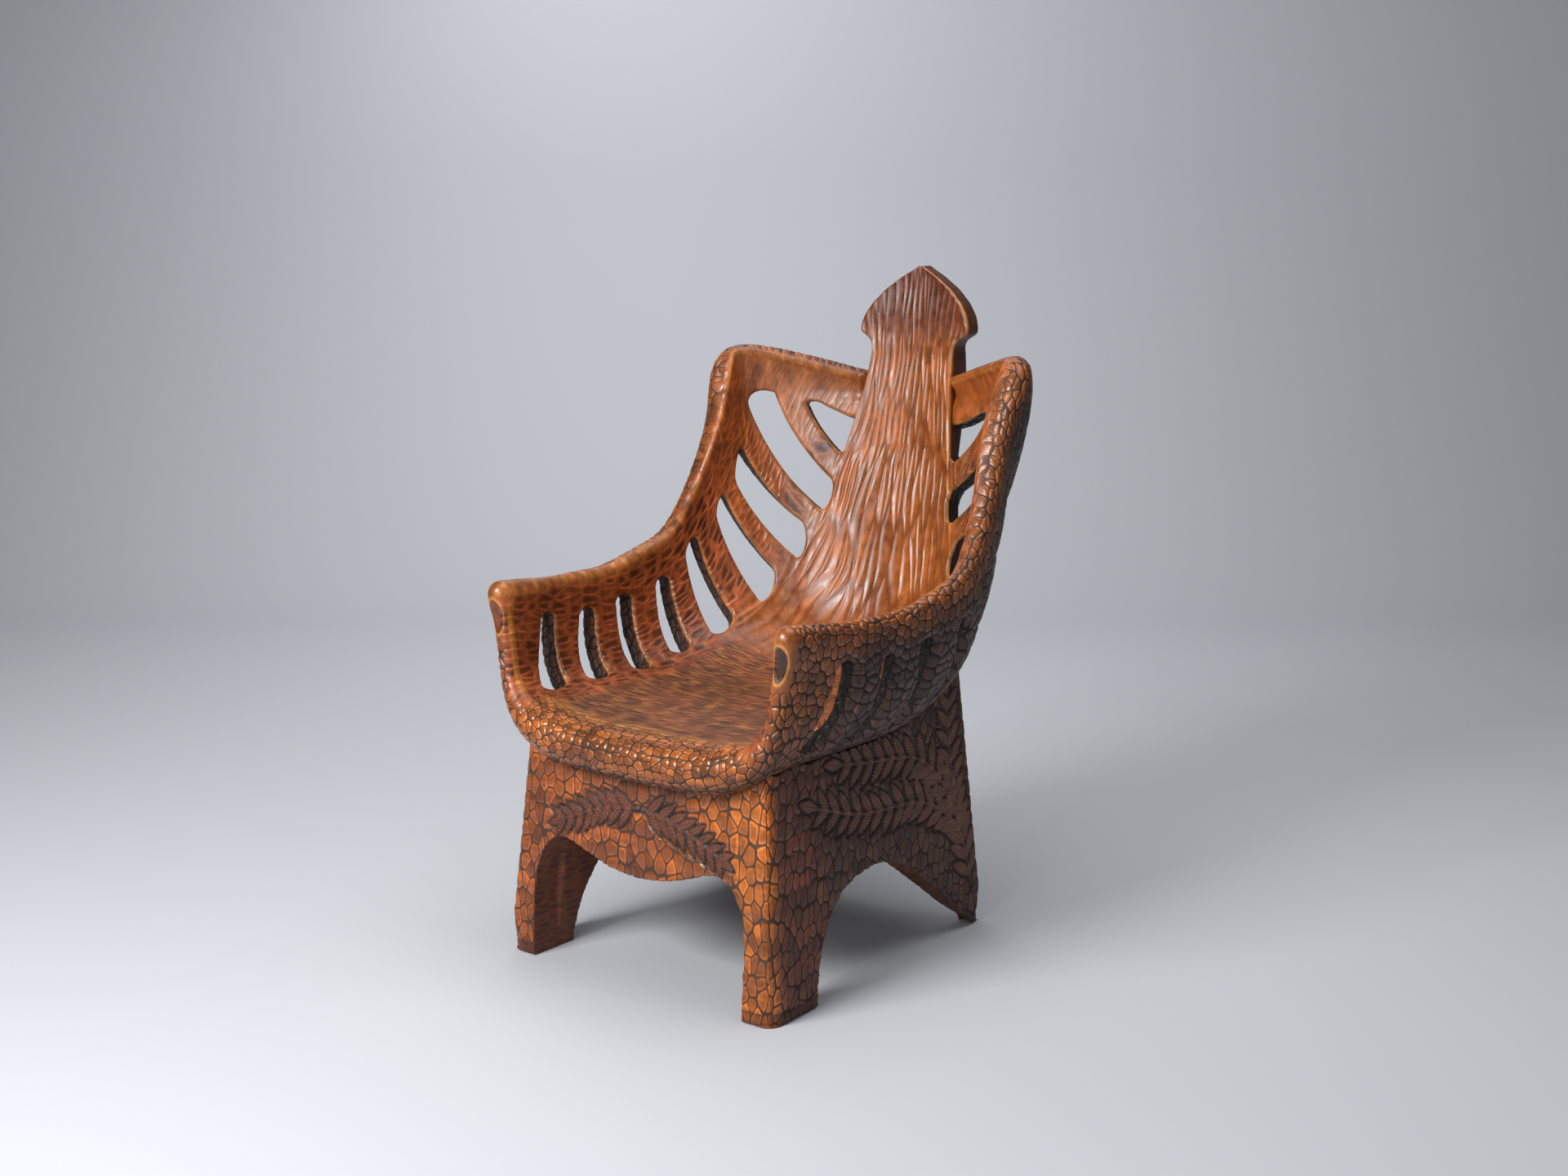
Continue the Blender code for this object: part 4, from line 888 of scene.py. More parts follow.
def splat():
    """The splat, neck and finial as one closed surface: places, quads, caps and painted facts."""
    height = SPLAT_STATIONS[-1, 0] - TOP_INSET - SPLAT_BOTTOM
    count = int(height / SPLAT_STEP)
    z = SPLAT_BOTTOM + height * (1.0 - (1.0 - np.linspace(0.0, 1.0, count)) ** 1.15)
    width, edge, dish, depth = splat_section(z)
    kernel = np.array((1.0, 2.0, 3.0, 2.0, 1.0)) / 9.0
    width = np.convolve(np.pad(width, 2, "edge"), kernel, "valid") - SPLAT_INSET
    edge = running_mean(np.pad(edge, SPLAT_SMOOTHING, "reflect", reflect_type="odd"), SPLAT_SMOOTHING)
    across = np.linspace(-1.0, 1.0, int(SPLAT_SPAN / SPLAT_STEP))
    across = 0.35 * np.sin(across * math.pi / 2.0) + 0.65 * across
    x = width[:, None] * across[None, :]
    level = np.broadcast_to(z[:, None], x.shape)
    reach = np.minimum(SPLAT_EDGE, width * 0.8)[:, None]
    drop = np.minimum(eased(width[:, None] - np.abs(x), reach, reach), depth[:, None] * 0.4)
    middle = edge[:, None] + dish[:, None] * (1.0 - across[None, :] ** 2)
    front = np.stack([x, middle + drop, level], -1)
    rear = np.stack([x, middle + depth[:, None] - drop, level], -1)
    shares = (np.arange(1, SPLAT_SIDE_STEPS) / SPLAT_SIDE_STEPS)[None, :, None]
    right = mix(front[:, -1][:, None], rear[:, -1][:, None], shares)
    left = mix(rear[:, 0][:, None], front[:, 0][:, None], shares)
    ring = np.concatenate([front, right, rear[:, ::-1], left], axis=1)
    beside = np.ones((count, SPLAT_SIDE_STEPS - 1))
    rounded = np.concatenate([drop / reach, beside, drop[:, ::-1] / reach, beside], axis=1).reshape(-1)
    facing = np.zeros(ring.shape[:2])
    facing[:, :x.shape[1]] = 1.0
    facing = facing.reshape(-1)
    numbers = np.arange(ring.shape[0] * ring.shape[1]).reshape(ring.shape[:2])
    quads = sheet_faces(np.concatenate([numbers, numbers[:, :1]], axis=1))[:, ::-1]
    caps = [numbers[0], numbers[-1][::-1]]
    place = ring.reshape(-1, 3)
    px, _, pz = place.T
    points = len(px)
    length = np.interp(pz, SPINE_HEIGHTS, SPINE_LENGTHS) + np.clip(pz - SPINE_HEIGHTS[-1], 0.0, None)
    cut_at = flute_places(px, pz, length)
    gap, tone = read_cells(cut_at)
    colour = flute_paint(place)
    dark_top = smooth_step(pz, 0.975, 1.045) * fade(np.abs(px + 0.01), 0.04, 0.105)
    colour = blend(colour, RED_BROWN * 0.45, 0.75 * dark_top)
    colour = blend(colour, RED_BROWN * (0.50, 0.40, 0.30), 0.85 * smooth_step(pz, 0.91, 1.01))
    rim = bump(rounded, 0.30, 0.30) * facing * np.where(px > 0.0, 1.0, 0.45)
    colour = blend(colour, HONEY, 0.85 * rim)
    grain = noise(place, (0.006, 0.006, 0.040), 51)
    colour = blend(colour, painted(RED_BROWN * 0.42, grain, 0.8), 1.0 - facing)
    cut_share = facing * fade(rounded, 0.05, 0.5)
    cut_share = cut_share * mix(1.0, 0.45, smooth_step(pz, 0.92, 1.0))
    place[:, 1] += cut_relief(gap, tone[:, 0], FLUTE_DEPTH) * cut_share
    none = np.zeros(points)
    facts = {
        "paint": colour, "edge": np.tile(RED_BROWN * 0.50, (points, 1)), "dull": mix(0.45, 0.35, facing),
        "cell_at": np.zeros((points, 2)), "cell_share": none, "cut_at": cut_at, "cut_share": cut_share,
        "cut_dark": none, "vein_at": none, "vein_share": none,
    }
    return place, quads, caps, facts


# Base.

def front_y(z):
    return FRONT_FOOT_Y + FRONT_LEAN * z


def rear_y(z):
    return REAR_FOOT_Y - REAR_LEAN * z


def side_x(y, z):
    return FOOT_X - SIDE_LEAN * z - SIDE_TAPER * (y - FRONT_FOOT_Y)


def bent_line(points, steps):
    """A smooth line through a few points."""
    return spline(points, np.linspace(0.0, len(points) - 1.0, steps))


FRONT_SPRIG = ((0.004, 0.282), (0.050, 0.276), (0.100, 0.262), (0.158, 0.238))
SIDE_BRANCHES = (
    ((0.268, 0.070), (0.232, 0.180), (0.120, 0.246), (-0.020, 0.262), (-0.150, 0.300)),
    ((0.236, 0.200), (0.150, 0.305), (0.030, 0.335), (-0.080, 0.352)),
    ((0.246, 0.150), (0.228, 0.270), (0.226, 0.400)),
)


def leaf_list(kind):
    """Leaves of the generic carvings: base point, angle, length, width, bend; and the stems they grow on."""
    if kind == "front":
        lines = [[(sign * a, b) for a, b in FRONT_SPRIG] for sign in (-1.0, 1.0)]
        length, width, pitch = FRONT_LEAF
    else:
        lines = SIDE_BRANCHES
        length, width, pitch = SIDE_LEAF
    leaves, stems = [], []
    for line in lines:
        stem = bent_line(line, 33)
        stems.append(stem)
        steps = np.hypot(*np.diff(stem, axis=0).T)
        run = np.concatenate([[0.0], np.cumsum(steps)])
        for k, at in enumerate(np.arange(0.6 * pitch, run[-1], pitch)):
            here = [np.interp(at, run, stem[:, axis]) for axis in (0, 1)]
            ahead = [np.interp(at + 0.01, run, stem[:, axis]) for axis in (0, 1)]
            heading = math.atan2(ahead[1] - here[1], ahead[0] - here[0]) if at + 0.01 < run[-1] else heading
            shrink = 1.0 - 0.25 * at / run[-1]
            for way in (-1.0, 1.0):
                angle = heading + way * (LEAF_ANGLE + 0.10 * math.sin(5.0 * k + way))
                leaves.append((*here, angle, length * shrink, width * shrink, -LEAF_BEND * way))
        leaves.append((*stem[-1], heading, length * 0.8, width * 0.9, 0.0))
    return leaves, stems


def carve_leaves(a, b, kind):
    """Leaf relief in a plane: height share, place along the veins, midrib, distance outside the leaves."""
    leaves, stems = leaf_list(kind)
    height, vein, midrib = np.zeros_like(a), np.zeros_like(a), np.zeros_like(a)
    gap = np.full_like(a, 1.0)
    for x, y, angle, length, width, bend in leaves:
        da, db = a - x, b - y
        along = (da * math.cos(angle) + db * math.sin(angle)) / length
        off = (-da * math.sin(angle) + db * math.cos(angle)) - bend * length * along * (1.0 - along)
        inside = np.clip(along, 0.0, 1.0)
        half = width / 2.0 * np.sin(math.pi * inside ** 0.85) ** 0.85
        past = np.hypot(np.abs(off), length * np.abs(along - inside))
        beyond = np.where((along < 0.0) | (along > 1.0), past, np.abs(off) - half)
        here = np.clip(1.0 - (off / np.maximum(half, 1e-5)) ** 2, 0.0, 1.0)
        swell = np.where(beyond < 0.0, 0.45 + 0.45 * np.sqrt(here) + 0.10 * along, 0.0)
        taller = swell > height
        vein = np.where(taller, (along * length - 0.8 * np.abs(off)) / VEIN_PITCH, vein)
        midrib = np.where(taller, fade(np.abs(off), 0.0004, 0.0020), midrib)
        height = np.maximum(height, swell)
        gap = np.minimum(gap, beyond)
    for stem in stems:
        for (x0, y0), (x1, y1) in zip(stem[:-1], stem[1:]):
            step = (x1 - x0) ** 2 + (y1 - y0) ** 2
            share = np.clip(((a - x0) * (x1 - x0) + (b - y0) * (y1 - y0)) / step, 0.0, 1.0)
            away = np.hypot(a - x0 - share * (x1 - x0), b - y0 - share * (y1 - y0))
            round_stem = np.sqrt(np.clip(1.0 - (away / STEM_RADIUS) ** 2, 0.0, 1.0))
            midrib = np.where(round_stem > height, 0.0, midrib)
            height = np.maximum(height, round_stem)
            gap = np.minimum(gap, away - STEM_RADIUS)
    return height, vein, midrib, gap


def base_points():
    """The four base boards as one fine surface: places, outward directions and quads."""
    joined = bmesh.new()
    for name in ("base_front_board", "base_rear_board", "base_side_board_left", "base_side_board_right"):
        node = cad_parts[name]
        part = node.data.copy()
        part.transform(node.matrix_world)
        joined.from_mesh(part)
        bpy.data.meshes.remove(part)
    data = bpy.data.meshes.new("base_blank")
    joined.to_mesh(data)
    joined.free()
    blank = bpy.data.objects.new("base_blank", data)
    bpy.context.scene.collection.objects.link(blank)
    remesh = blank.modifiers.new("fine", "REMESH")
    remesh.mode = "VOXEL"
    remesh.voxel_size = BASE_VOXEL
    graph = bpy.context.evaluated_depsgraph_get()
    fine = bpy.data.meshes.new_from_object(blank.evaluated_get(graph))
    places = read_all(fine.vertices, "co", width=3)
    places[:, 1] += BACK_SHIFT
    normals = read_all(fine.vertex_normals, "vector", width=3)
    quads = read_all(fine.loops, "vertex_index", np.int32).reshape(-1, 4)
    bpy.data.objects.remove(blank)
    for mesh in (data, fine):
        bpy.data.meshes.remove(mesh)
    return places, normals, quads


def carve_base(place, out):
    """New places and painted facts of the base's points."""
    x, y, z = place.T.copy()
    count = len(x)
    right = np.sign(x)
    gap_side = side_x(y, z) - np.abs(x)
    place = place.copy()
    # Rounded upright corners, and feet rounded under.
    radius = CORNER_RADIUS + FOOT_CORNER * fade(z, 0.0, FOOT_CORNER_HEIGHT)
    for gap_end, sign in ((y - front_y(z), 1.0), (rear_y(z) - y, -1.0)):
        a, b = np.clip(radius - gap_end, 0.0, None), np.clip(radius - gap_side, 0.0, None)
        length = np.hypot(a, b)
        over = (a > 0.0) & (b > 0.0) & (length > radius)
        scale = np.where(over, radius / np.maximum(length, 1e-9), 1.0)
        place[:, 1] += sign * (a - a * scale)
        place[:, 0] -= right * (b - b * scale)
    for gap_end, axis, sign in ((y - front_y(z), 1, 1.0), (rear_y(z) - y, 1, -1.0), (gap_side, 0, -right)):
        a, b = np.clip(FOOT_ROUNDING - gap_end, 0.0, None), np.clip(FOOT_ROUNDING - z, 0.0, None)
        length = np.hypot(a, b)
        scale = np.where((b > 0.0) & (length > FOOT_ROUNDING), FOOT_ROUNDING / np.maximum(length, 1e-9), 1.0)
        place[:, axis] += sign * (a - a * scale)
        place[:, 2] = np.maximum(place[:, 2], z + b - b * scale)
    on_side = (np.abs(gap_side) < FACE_REACH) & (np.abs(out[:, 0]) > np.abs(out[:, 1]))
    on_front = (np.abs(y - front_y(z)) < FACE_REACH) & ~on_side & (out[:, 1] < -0.5)
    on_rear = (np.abs(rear_y(z) - y) < FACE_REACH) & ~on_side & (out[:, 1] > 0.5)

    # Cells run round the corners in one flat pattern, smaller from the front legs on.
    corner = side_x(front_y(z), z)
    rear_corner = corner + rear_y(z) - front_y(z)
    around = np.where(on_side, corner + y - front_y(z), np.abs(x))
    around = np.where(on_rear, rear_corner + side_x(rear_y(z), z) - np.abs(x), around)
    around = np.minimum(around, LEG_X) / BASE_CELL_SIZE + np.maximum(around - LEG_X, 0.0) / LEG_CELL_SIZE
    cell_at = flat_places(right * around, z / BASE_CELL_HEIGHT)
    carved = (on_front | on_side | on_rear).astype(float)
    gap, _ = read_cells(cell_at)
    depth = cell_relief(gap, BASE_DOME)
    # Painted light and shade: the front is partly the wood's own gold, lightest towards its right-hand corner
    # as painted light, and the sides and the rear are a darker dull brown as painted shade, a little redder
    # and lighter near the front legs.
    turned = np.where(on_side, y - front_y(z), -1.0)
    sides = smooth_step(turned, 0.012, 0.042)
    gold_and_painted_light = np.where(on_rear, 0.0, mix(0.45, 1.0, smooth_step(x, 0.02, 0.18)) * (1.0 - sides))
    ground = blend(RED_BROWN * (0.92, 0.80, 0.65), GOLD, gold_and_painted_light)
    legs = fade(turned, 0.10, 0.17)
    ground = blend(ground, blend(DULL, DULL * (1.7, 1.2, 1.0), legs), np.maximum(sides, on_rear))
    ground = varied(ground, 0.70, 1.25, noise(place, 0.055, 66))
    paint = ground.copy()
    cell_share = carved.copy()
    leafy = np.zeros(count)
    vein_at, vein_share = np.zeros(count), np.zeros(count)

    # Leaf carvings on a lowered ground.
    for mask, a, kind in ((on_front, x, "front"), (on_side, y, "side")):
        chosen = np.nonzero(mask)[0]
        height, vein, midrib, beyond = carve_leaves(a[chosen], z[chosen], kind)
        cover = fade(beyond, 0.001, 0.006)
        depth[chosen] = mix(depth[chosen], LEAF_DEPTH * (1.0 - height) + MIDRIB_DEPTH * midrib, cover)
        # Leaves painted lighter on their raised middles, as a painted highlight, and near black on the
        # lowered ground round them, as painted shade.
        light = RED_BROWN * 0.95 if kind == "front" else DULL * 2.5
        leaf = blend(NEAR_BLACK, light, smooth_step(height, 0.52, 0.98))
        leaf = blend(leaf, GROOVE_AND_SHADE_DARK * 0.6, 0.7 * midrib)
        paint[chosen] = blend(paint[chosen], leaf, cover)
        cell_share[chosen] = cell_share[chosen] * (1.0 - cover)
        leafy[chosen] = cover
        vein_at[chosen] = vein
        vein_share[chosen] = cover * smooth_step(height, 0.40, 0.60) * (1.0 - midrib)

    # Plinth: a darker worn band below a cut line.
    plinth = fade(z, PLINTH_HEIGHT - 0.003, PLINTH_HEIGHT + 0.001)
    notch = bump(z, PLINTH_HEIGHT, NOTCH_WIDTH) * carved
    depth = mix(depth, 0.5 * depth + PLINTH_DEPTH, plinth) + NOTCH_DEPTH * notch
    paint = blend(paint, ground * 0.50, 0.85 * plinth)
    paint = blend(paint, NEAR_BLACK, 0.7 * notch)
    # Edges of the arches and everything inside: gouged, dark and plain.
    cut_at = slanted_places(x + y, z, 0.0, ARCH_CUT_SIZE)
    cut_gap, cut_tone = read_cells(cut_at)
    plain = painted(RED_BROWN * 0.62, noise(place, (0.030, 0.030, 0.012), 64), 0.8)
    paint = blend(plain, paint, carved)
    edge = blend(AMBER * 0.45, GROOVE_AND_SHADE_DARK * 1.4, carved)
    depth = depth * carved + cut_relief(cut_gap, cut_tone[:, 0], ARCH_CUT_DEPTH) * (1.0 - carved)
    rough = mix(mix(mix(0.30, 0.52, sides), 0.60, leafy), 0.60, plinth)
    rough = mix(0.60, rough, carved)
    return place - out * depth[:, None], {
        "paint": paint, "edge": edge, "dull": rough, "cell_at": cell_at, "cell_share": cell_share,
        "cut_at": cut_at, "cut_share": 0.9 * (1.0 - carved), "cut_dark": 0.5 * (1.0 - carved),
        "vein_at": vein_at, "vein_share": vein_share,
    }


# Meshes of the pieces.

def build_mesh(name, places, quads, caps, facts):
    """A mesh from arrays, with its facts stored on its points for the materials."""
    mesh = bpy.data.meshes.new(name)
    mesh.vertices.add(len(places))
    mesh.vertices.foreach_set("co", np.ascontiguousarray(places, np.float32).ravel())
    loops = np.concatenate([quads.ravel()] + [np.asarray(cap) for cap in caps])
    sizes = np.concatenate([np.full(len(quads), 4)] + [[len(cap)] for cap in caps]).astype(int)
    starts = np.concatenate([[0], np.cumsum(sizes)[:-1]])
    mesh.loops.add(len(loops))
    mesh.loops.foreach_set("vertex_index", loops.astype(np.int32))
    mesh.polygons.add(len(sizes))
    mesh.polygons.foreach_set("loop_start", starts.astype(np.int32))
    mesh.update(calc_edges=True)
    kinds = {1: ("FLOAT", "value"), 2: ("FLOAT_VECTOR", "vector"), 3: ("FLOAT_COLOR", "color")}
    for fact, values in facts.items():
        values = np.asarray(values, float).reshape(len(places), -1)
        kind, key = kinds[values.shape[1]]
        if values.shape[1] > 1:
            fill = np.full((len(places), 1), 1.0 if kind == "FLOAT_COLOR" else 0.0)
            values = np.concatenate([values, fill], axis=1)
        stored = mesh.attributes.new(fact, kind, "POINT")
        stored.data.foreach_set(key, values.astype(np.float32).ravel())
    return mesh


def near_part(places, quads, caps, facts, keep):
    """The arrays of the faces that are kept."""
    quads = quads[keep(places[quads].mean(axis=1))]
    caps = [cap for cap in caps if keep(places[cap].mean(axis=0)[None])[0]]
    used = np.unique(np.concatenate([quads.ravel()] + [np.asarray(cap) for cap in caps]))
    numbers = np.full(len(places), -1)
    numbers[used] = np.arange(len(used))
    facts = {name: values[used] for name, values in facts.items()}
    return places[used], numbers[quads], [numbers[cap] for cap in caps], facts


def parted(name, arrays, planes):
    """The piece of a surface on the inner side of some planes (point, normal), closed at each cut."""
    def keep(middles):
        inside = np.ones(len(middles), bool)
        for point, normal in planes:
            inside &= (middles - np.array(point)) @ np.array(normal) < CUT_MARGIN
        return inside

    mesh = build_mesh(name, *near_part(*arrays, keep))
    work = bmesh.new()
    work.from_mesh(mesh)
    bpy.data.meshes.remove(mesh)
    for point, normal in planes:
        geometry = work.verts[:] + work.edges[:] + work.faces[:]
        made = bmesh.ops.bisect_plane(
            work, geom=geometry, dist=1e-7, plane_co=point, plane_no=normal, clear_outer=True
        )
        edges = [e for e in made["geom_cut"] if isinstance(e, bmesh.types.BMEdge) and e.is_boundary]
        bmesh.ops.edgeloop_fill(work, edges=edges)
    bmesh.ops.recalc_face_normals(work, faces=work.faces[:])
    return work


def box_planes(low, high):
    """Planes of a box, half a glue line inside it. None leaves a side open."""
    planes = []
    for axis in range(3):
        for limit, sign in ((low[axis], -1.0), (high[axis], 1.0)):
            if limit is None:
                continue
            point, normal = [0.0] * 3, [0.0] * 3
            point[axis] = limit - sign * GLUE_GAP / 2.0
            normal[axis] = sign
            planes.append((point, normal))
    return planes


# Materials.

class Board:
    """Short names for making and joining a material's nodes."""

    def __init__(self, material):
        material.use_nodes = True
        self.nodes, self.links = material.node_tree.nodes, material.node_tree.links
        self.shader = self.nodes["Principled BSDF"]

    def make(self, kind, inputs, **settings):
        """A new node's outputs. Inputs that are outputs of other nodes are linked, and others are set."""
        node = self.nodes.new("ShaderNode" + kind)
        for name, value in settings.items():
            setattr(node, name, value)
        self.put(node, inputs)
        return node.outputs

    def put(self, node, inputs):
        for name, value in inputs.items():
            if hasattr(value, "is_output"):
                self.links.new(value, node.inputs[name])
            else:
                node.inputs[name].default_value = value

    def fact(self, name, output="Fac"):
        return self.make("Attribute", {}, attribute_name=name)[output]

    def math(self, operation, first, second):
        return self.make("Math", {0: first, 1: second}, operation=operation)[0]

    def ramp(self, value, low, high, start=0.0, end=1.0):
        """An even S from start to end, as the value goes from low to high."""
        inputs = {"Value": value, "From Min": low, "From Max": high, "To Min": start, "To Max": end}
        return self.make("MapRange", inputs, interpolation_type="SMOOTHSTEP")["Result"]

    def noise(self, source, size, detail):
        return self.make("TexNoise", {"Vector": source, "Scale": size, "Detail": detail})["Fac"]

    def cells(self, source, feature):
        node = self.nodes.new("ShaderNodeTexVoronoi")
        set_voronoi(node, feature)
        self.put(node, {"Vector": source})
        return node.outputs

    def parts(self, colour):
        return self.make("SeparateColor", {0: colour})

    def scaled(self, colour, factor):
        return self.make("VectorMath", {0: colour, "Scale": factor}, operation="SCALE")[0]

    def blend(self, share, first, second):
        return self.make("Mix", {0: share, 6: first, 7: second}, data_type="RGBA")[2]

    def product(self, *values):
        total = values[0]
        for value in values[1:]:
            total = self.math("MULTIPLY", total, value)
        return total


# Noises of the wood: scale and detail. Gaps from the edge of a cell or cut, as shares of it, where lines and
# patches begin and end. Tones, lowest and highest. Heights of the fine relief in millimetres.
STREAK_NOISE = (9.0, 6.0)
MOTTLE_NOISE = (55.0, 5.0)
FINE_NOISE = (420.0, 3.0)
DOWEL_NOISE = (160.0, 2.0)
MOTTLE_RANGE = (0.3, 0.7)
CELL_GROOVE = (0.022, 0.064)
CELL_RIM_START = (0.05, 0.10)
CELL_RIM_END = (0.13, 0.22)
CELL_STAIN = (0.14, 0.32)
CELL_SWELL = (0.04, 0.30)
CUT_MIDDLE = (0.12, 0.32)
CUT_RIDGE = (0.0, 0.16)
CUT_CREST = (0.0, 0.25)
VEIN_LINE = (0.06, 0.26)
MOTTLE_TONES = (0.76, 1.20)
CELL_TONES = (0.64, 1.28)
CUT_TONES = (0.80, 1.20)
GRAIN_HEIGHT = 0.11
SWELL_HEIGHT = 0.38
GROOVE_HEIGHT = 0.60
RIDGE_HEIGHT = 0.45
VEIN_HEIGHT = 0.6
MILLIMETRE = 0.001


def wood(name, grain, strength=0.55):
    """Oiled wood: painted ground, streaks along the grain, cells, cuts and veins with lines, uneven gloss."""
    material = bpy.data.materials.new(name)
    board = Board(material)
    place = board.make("TexCoord", {})["Object"]
    stretched = board.make("Mapping", {"Vector": place, "Scale": grain})["Vector"]
    streaks = board.noise(stretched, *STREAK_NOISE)
    mottle = board.noise(place, *MOTTLE_NOISE)
    fine = board.noise(place, *FINE_NOISE)
    edge = board.fact("edge", "Color")
    cell_at, cell_share = board.fact("cell_at", "Vector"), board.fact("cell_share")
    cut_at, cut_share = board.fact("cut_at", "Vector"), board.fact("cut_share")

    # Ground colour with streaks and mottling.
    dark = board.ramp(streaks, 0.25, 0.75, 1.0 - 0.5 * strength, 1.0 + 0.5 * strength)
    dark = board.product(dark, board.ramp(mottle, *MOTTLE_RANGE, *MOTTLE_TONES))
    colour = board.scaled(board.fact("paint", "Color"), dark)

    # Cells: a tone each, a light rim inside a thin dark groove, and stained middles.
    gap = board.cells(cell_at, "DISTANCE_TO_EDGE")["Distance"]
    site = board.cells(cell_at, "F1")
    gap = board.math("SUBTRACT", gap, board.ramp(site["Distance"], 0.40, 0.85, 0.0, 0.10))
    tone = board.parts(site["Color"])
    shade = board.ramp(tone[0], 0.0, 1.0, *CELL_TONES)
    colour = board.blend(cell_share, colour, board.scaled(colour, shade))
    rim = board.product(board.ramp(gap, *CELL_RIM_START), board.ramp(gap, *CELL_RIM_END, 1.0, 0.0))
    rim = board.product(rim, cell_share)
    colour = board.blend(board.product(rim, 0.55), colour, board.scaled(colour, 1.55))
    stain = board.product(board.ramp(gap, *CELL_STAIN), board.ramp(tone[1], 0.15, 0.9), cell_share)
    stain = board.product(stain, board.ramp(mottle, 0.42, 0.62))
    colour = board.blend(board.product(stain, 0.8), colour, board.scaled(colour, 0.38))
    groove = board.product(board.ramp(gap, *CELL_GROOVE, 1.0, 0.0), cell_share)
    colour = board.blend(board.product(groove, 0.90), colour, edge)

    # Cuts: a tone each, dark middles where the facts ask for them, and lines on the ridges.
    hollow = board.cells(cut_at, "DISTANCE_TO_EDGE")["Distance"]
    cut_tone = board.parts(board.cells(cut_at, "F1")["Color"])
    cut_shade = board.ramp(cut_tone[0], 0.0, 1.0, *CUT_TONES)
    colour = board.blend(cut_share, colour, board.scaled(colour, cut_shade))
    middle = board.product(board.ramp(hollow, *CUT_MIDDLE), board.fact("cut_dark"), cut_share)
    middle = board.product(middle, board.ramp(cut_tone[1], 0.0, 0.8, 0.35, 1.0))
    colour = board.blend(middle, colour, board.scaled(colour, 0.22))
    ridge = board.product(board.ramp(hollow, *CUT_RIDGE, 1.0, 0.0), cut_share)
    colour = board.blend(board.product(ridge, 0.50), colour, edge)

    # Veins of the leaves.
    vein_share = board.fact("vein_share")
    wave = board.math("PINGPONG", board.fact("vein_at"), 0.5)
    vein = board.product(board.ramp(wave, *VEIN_LINE, 1.0, 0.0), vein_share)
    colour = board.blend(board.product(vein, 0.85), colour, edge)

    # Gloss: uneven, and dull in the grooves.
    uneven = board.ramp(mottle, *MOTTLE_RANGE, -0.08, 0.08)
    rough = board.math("ADD", board.fact("dull"), uneven)
    rough = board.math("ADD", rough, board.product(groove, 0.35))

    # Fine relief in millimetres.
    height = board.math("MULTIPLY", board.math("ADD", streaks, fine), GRAIN_HEIGHT)
    swell = board.product(board.ramp(gap, *CELL_SWELL), cell_share)
    height = board.math("ADD", height, board.product(swell, SWELL_HEIGHT))
    height = board.math("SUBTRACT", height, board.product(groove, GROOVE_HEIGHT))
    crest = board.ramp(hollow, *CUT_CREST, 1.0, 0.0)
    height = board.math("ADD", height, board.product(crest, cut_share, RIDGE_HEIGHT))
    height = board.math("SUBTRACT", height, board.product(vein, VEIN_HEIGHT))
    relief = board.make("Bump", {"Strength": 1.0, "Distance": MILLIMETRE, "Height": height})["Normal"]
    board.put(board.shader, {"Base Color": colour, "Roughness": rough, "Normal": relief})
    board.put(board.shader, {"Specular IOR Level": 0.55})
    return material


def dowel_wood():
    """Pale beech for the dowels."""
    material = bpy.data.materials.new("dowel_beech")
    board = Board(material)
    grain = board.noise(board.make("TexCoord", {})["Object"], *DOWEL_NOISE)
    ramp = board.nodes.new("ShaderNodeValToRGB")
    ramp.color_ramp.elements[0].color = DARK_BEECH
    ramp.color_ramp.elements[1].color = LIGHT_BEECH
    board.put(ramp, {"Fac": grain})
    board.put(board.shader, {"Base Color": ramp.outputs["Color"], "Roughness": 0.6})
    return material


UPRIGHT_GRAIN = (9.0, 9.0, 0.8)
DEPTH_GRAIN = (9.0, 0.8, 9.0)
WIDTH_GRAIN = (0.8, 9.0, 9.0)


def add_piece(name, work, material):
    """A piece in the part's frame that takes the place of the board of that name."""
    mesh = bpy.data.meshes.new(name)
    bmesh.ops.translate(work, verts=work.verts[:], vec=(0.0, -BACK_SHIFT, 0.0))
    work.to_mesh(mesh)
    work.free()
    mesh.shade_smooth()
    mesh.set_sharp_from_angle(angle=SHARP_ANGLE)
    mesh.materials.append(material)
    piece = bpy.data.objects.new(name + "_carved", mesh)
    bpy.context.scene.collection.objects.link(piece)
    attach(piece, "root")
    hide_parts(name)


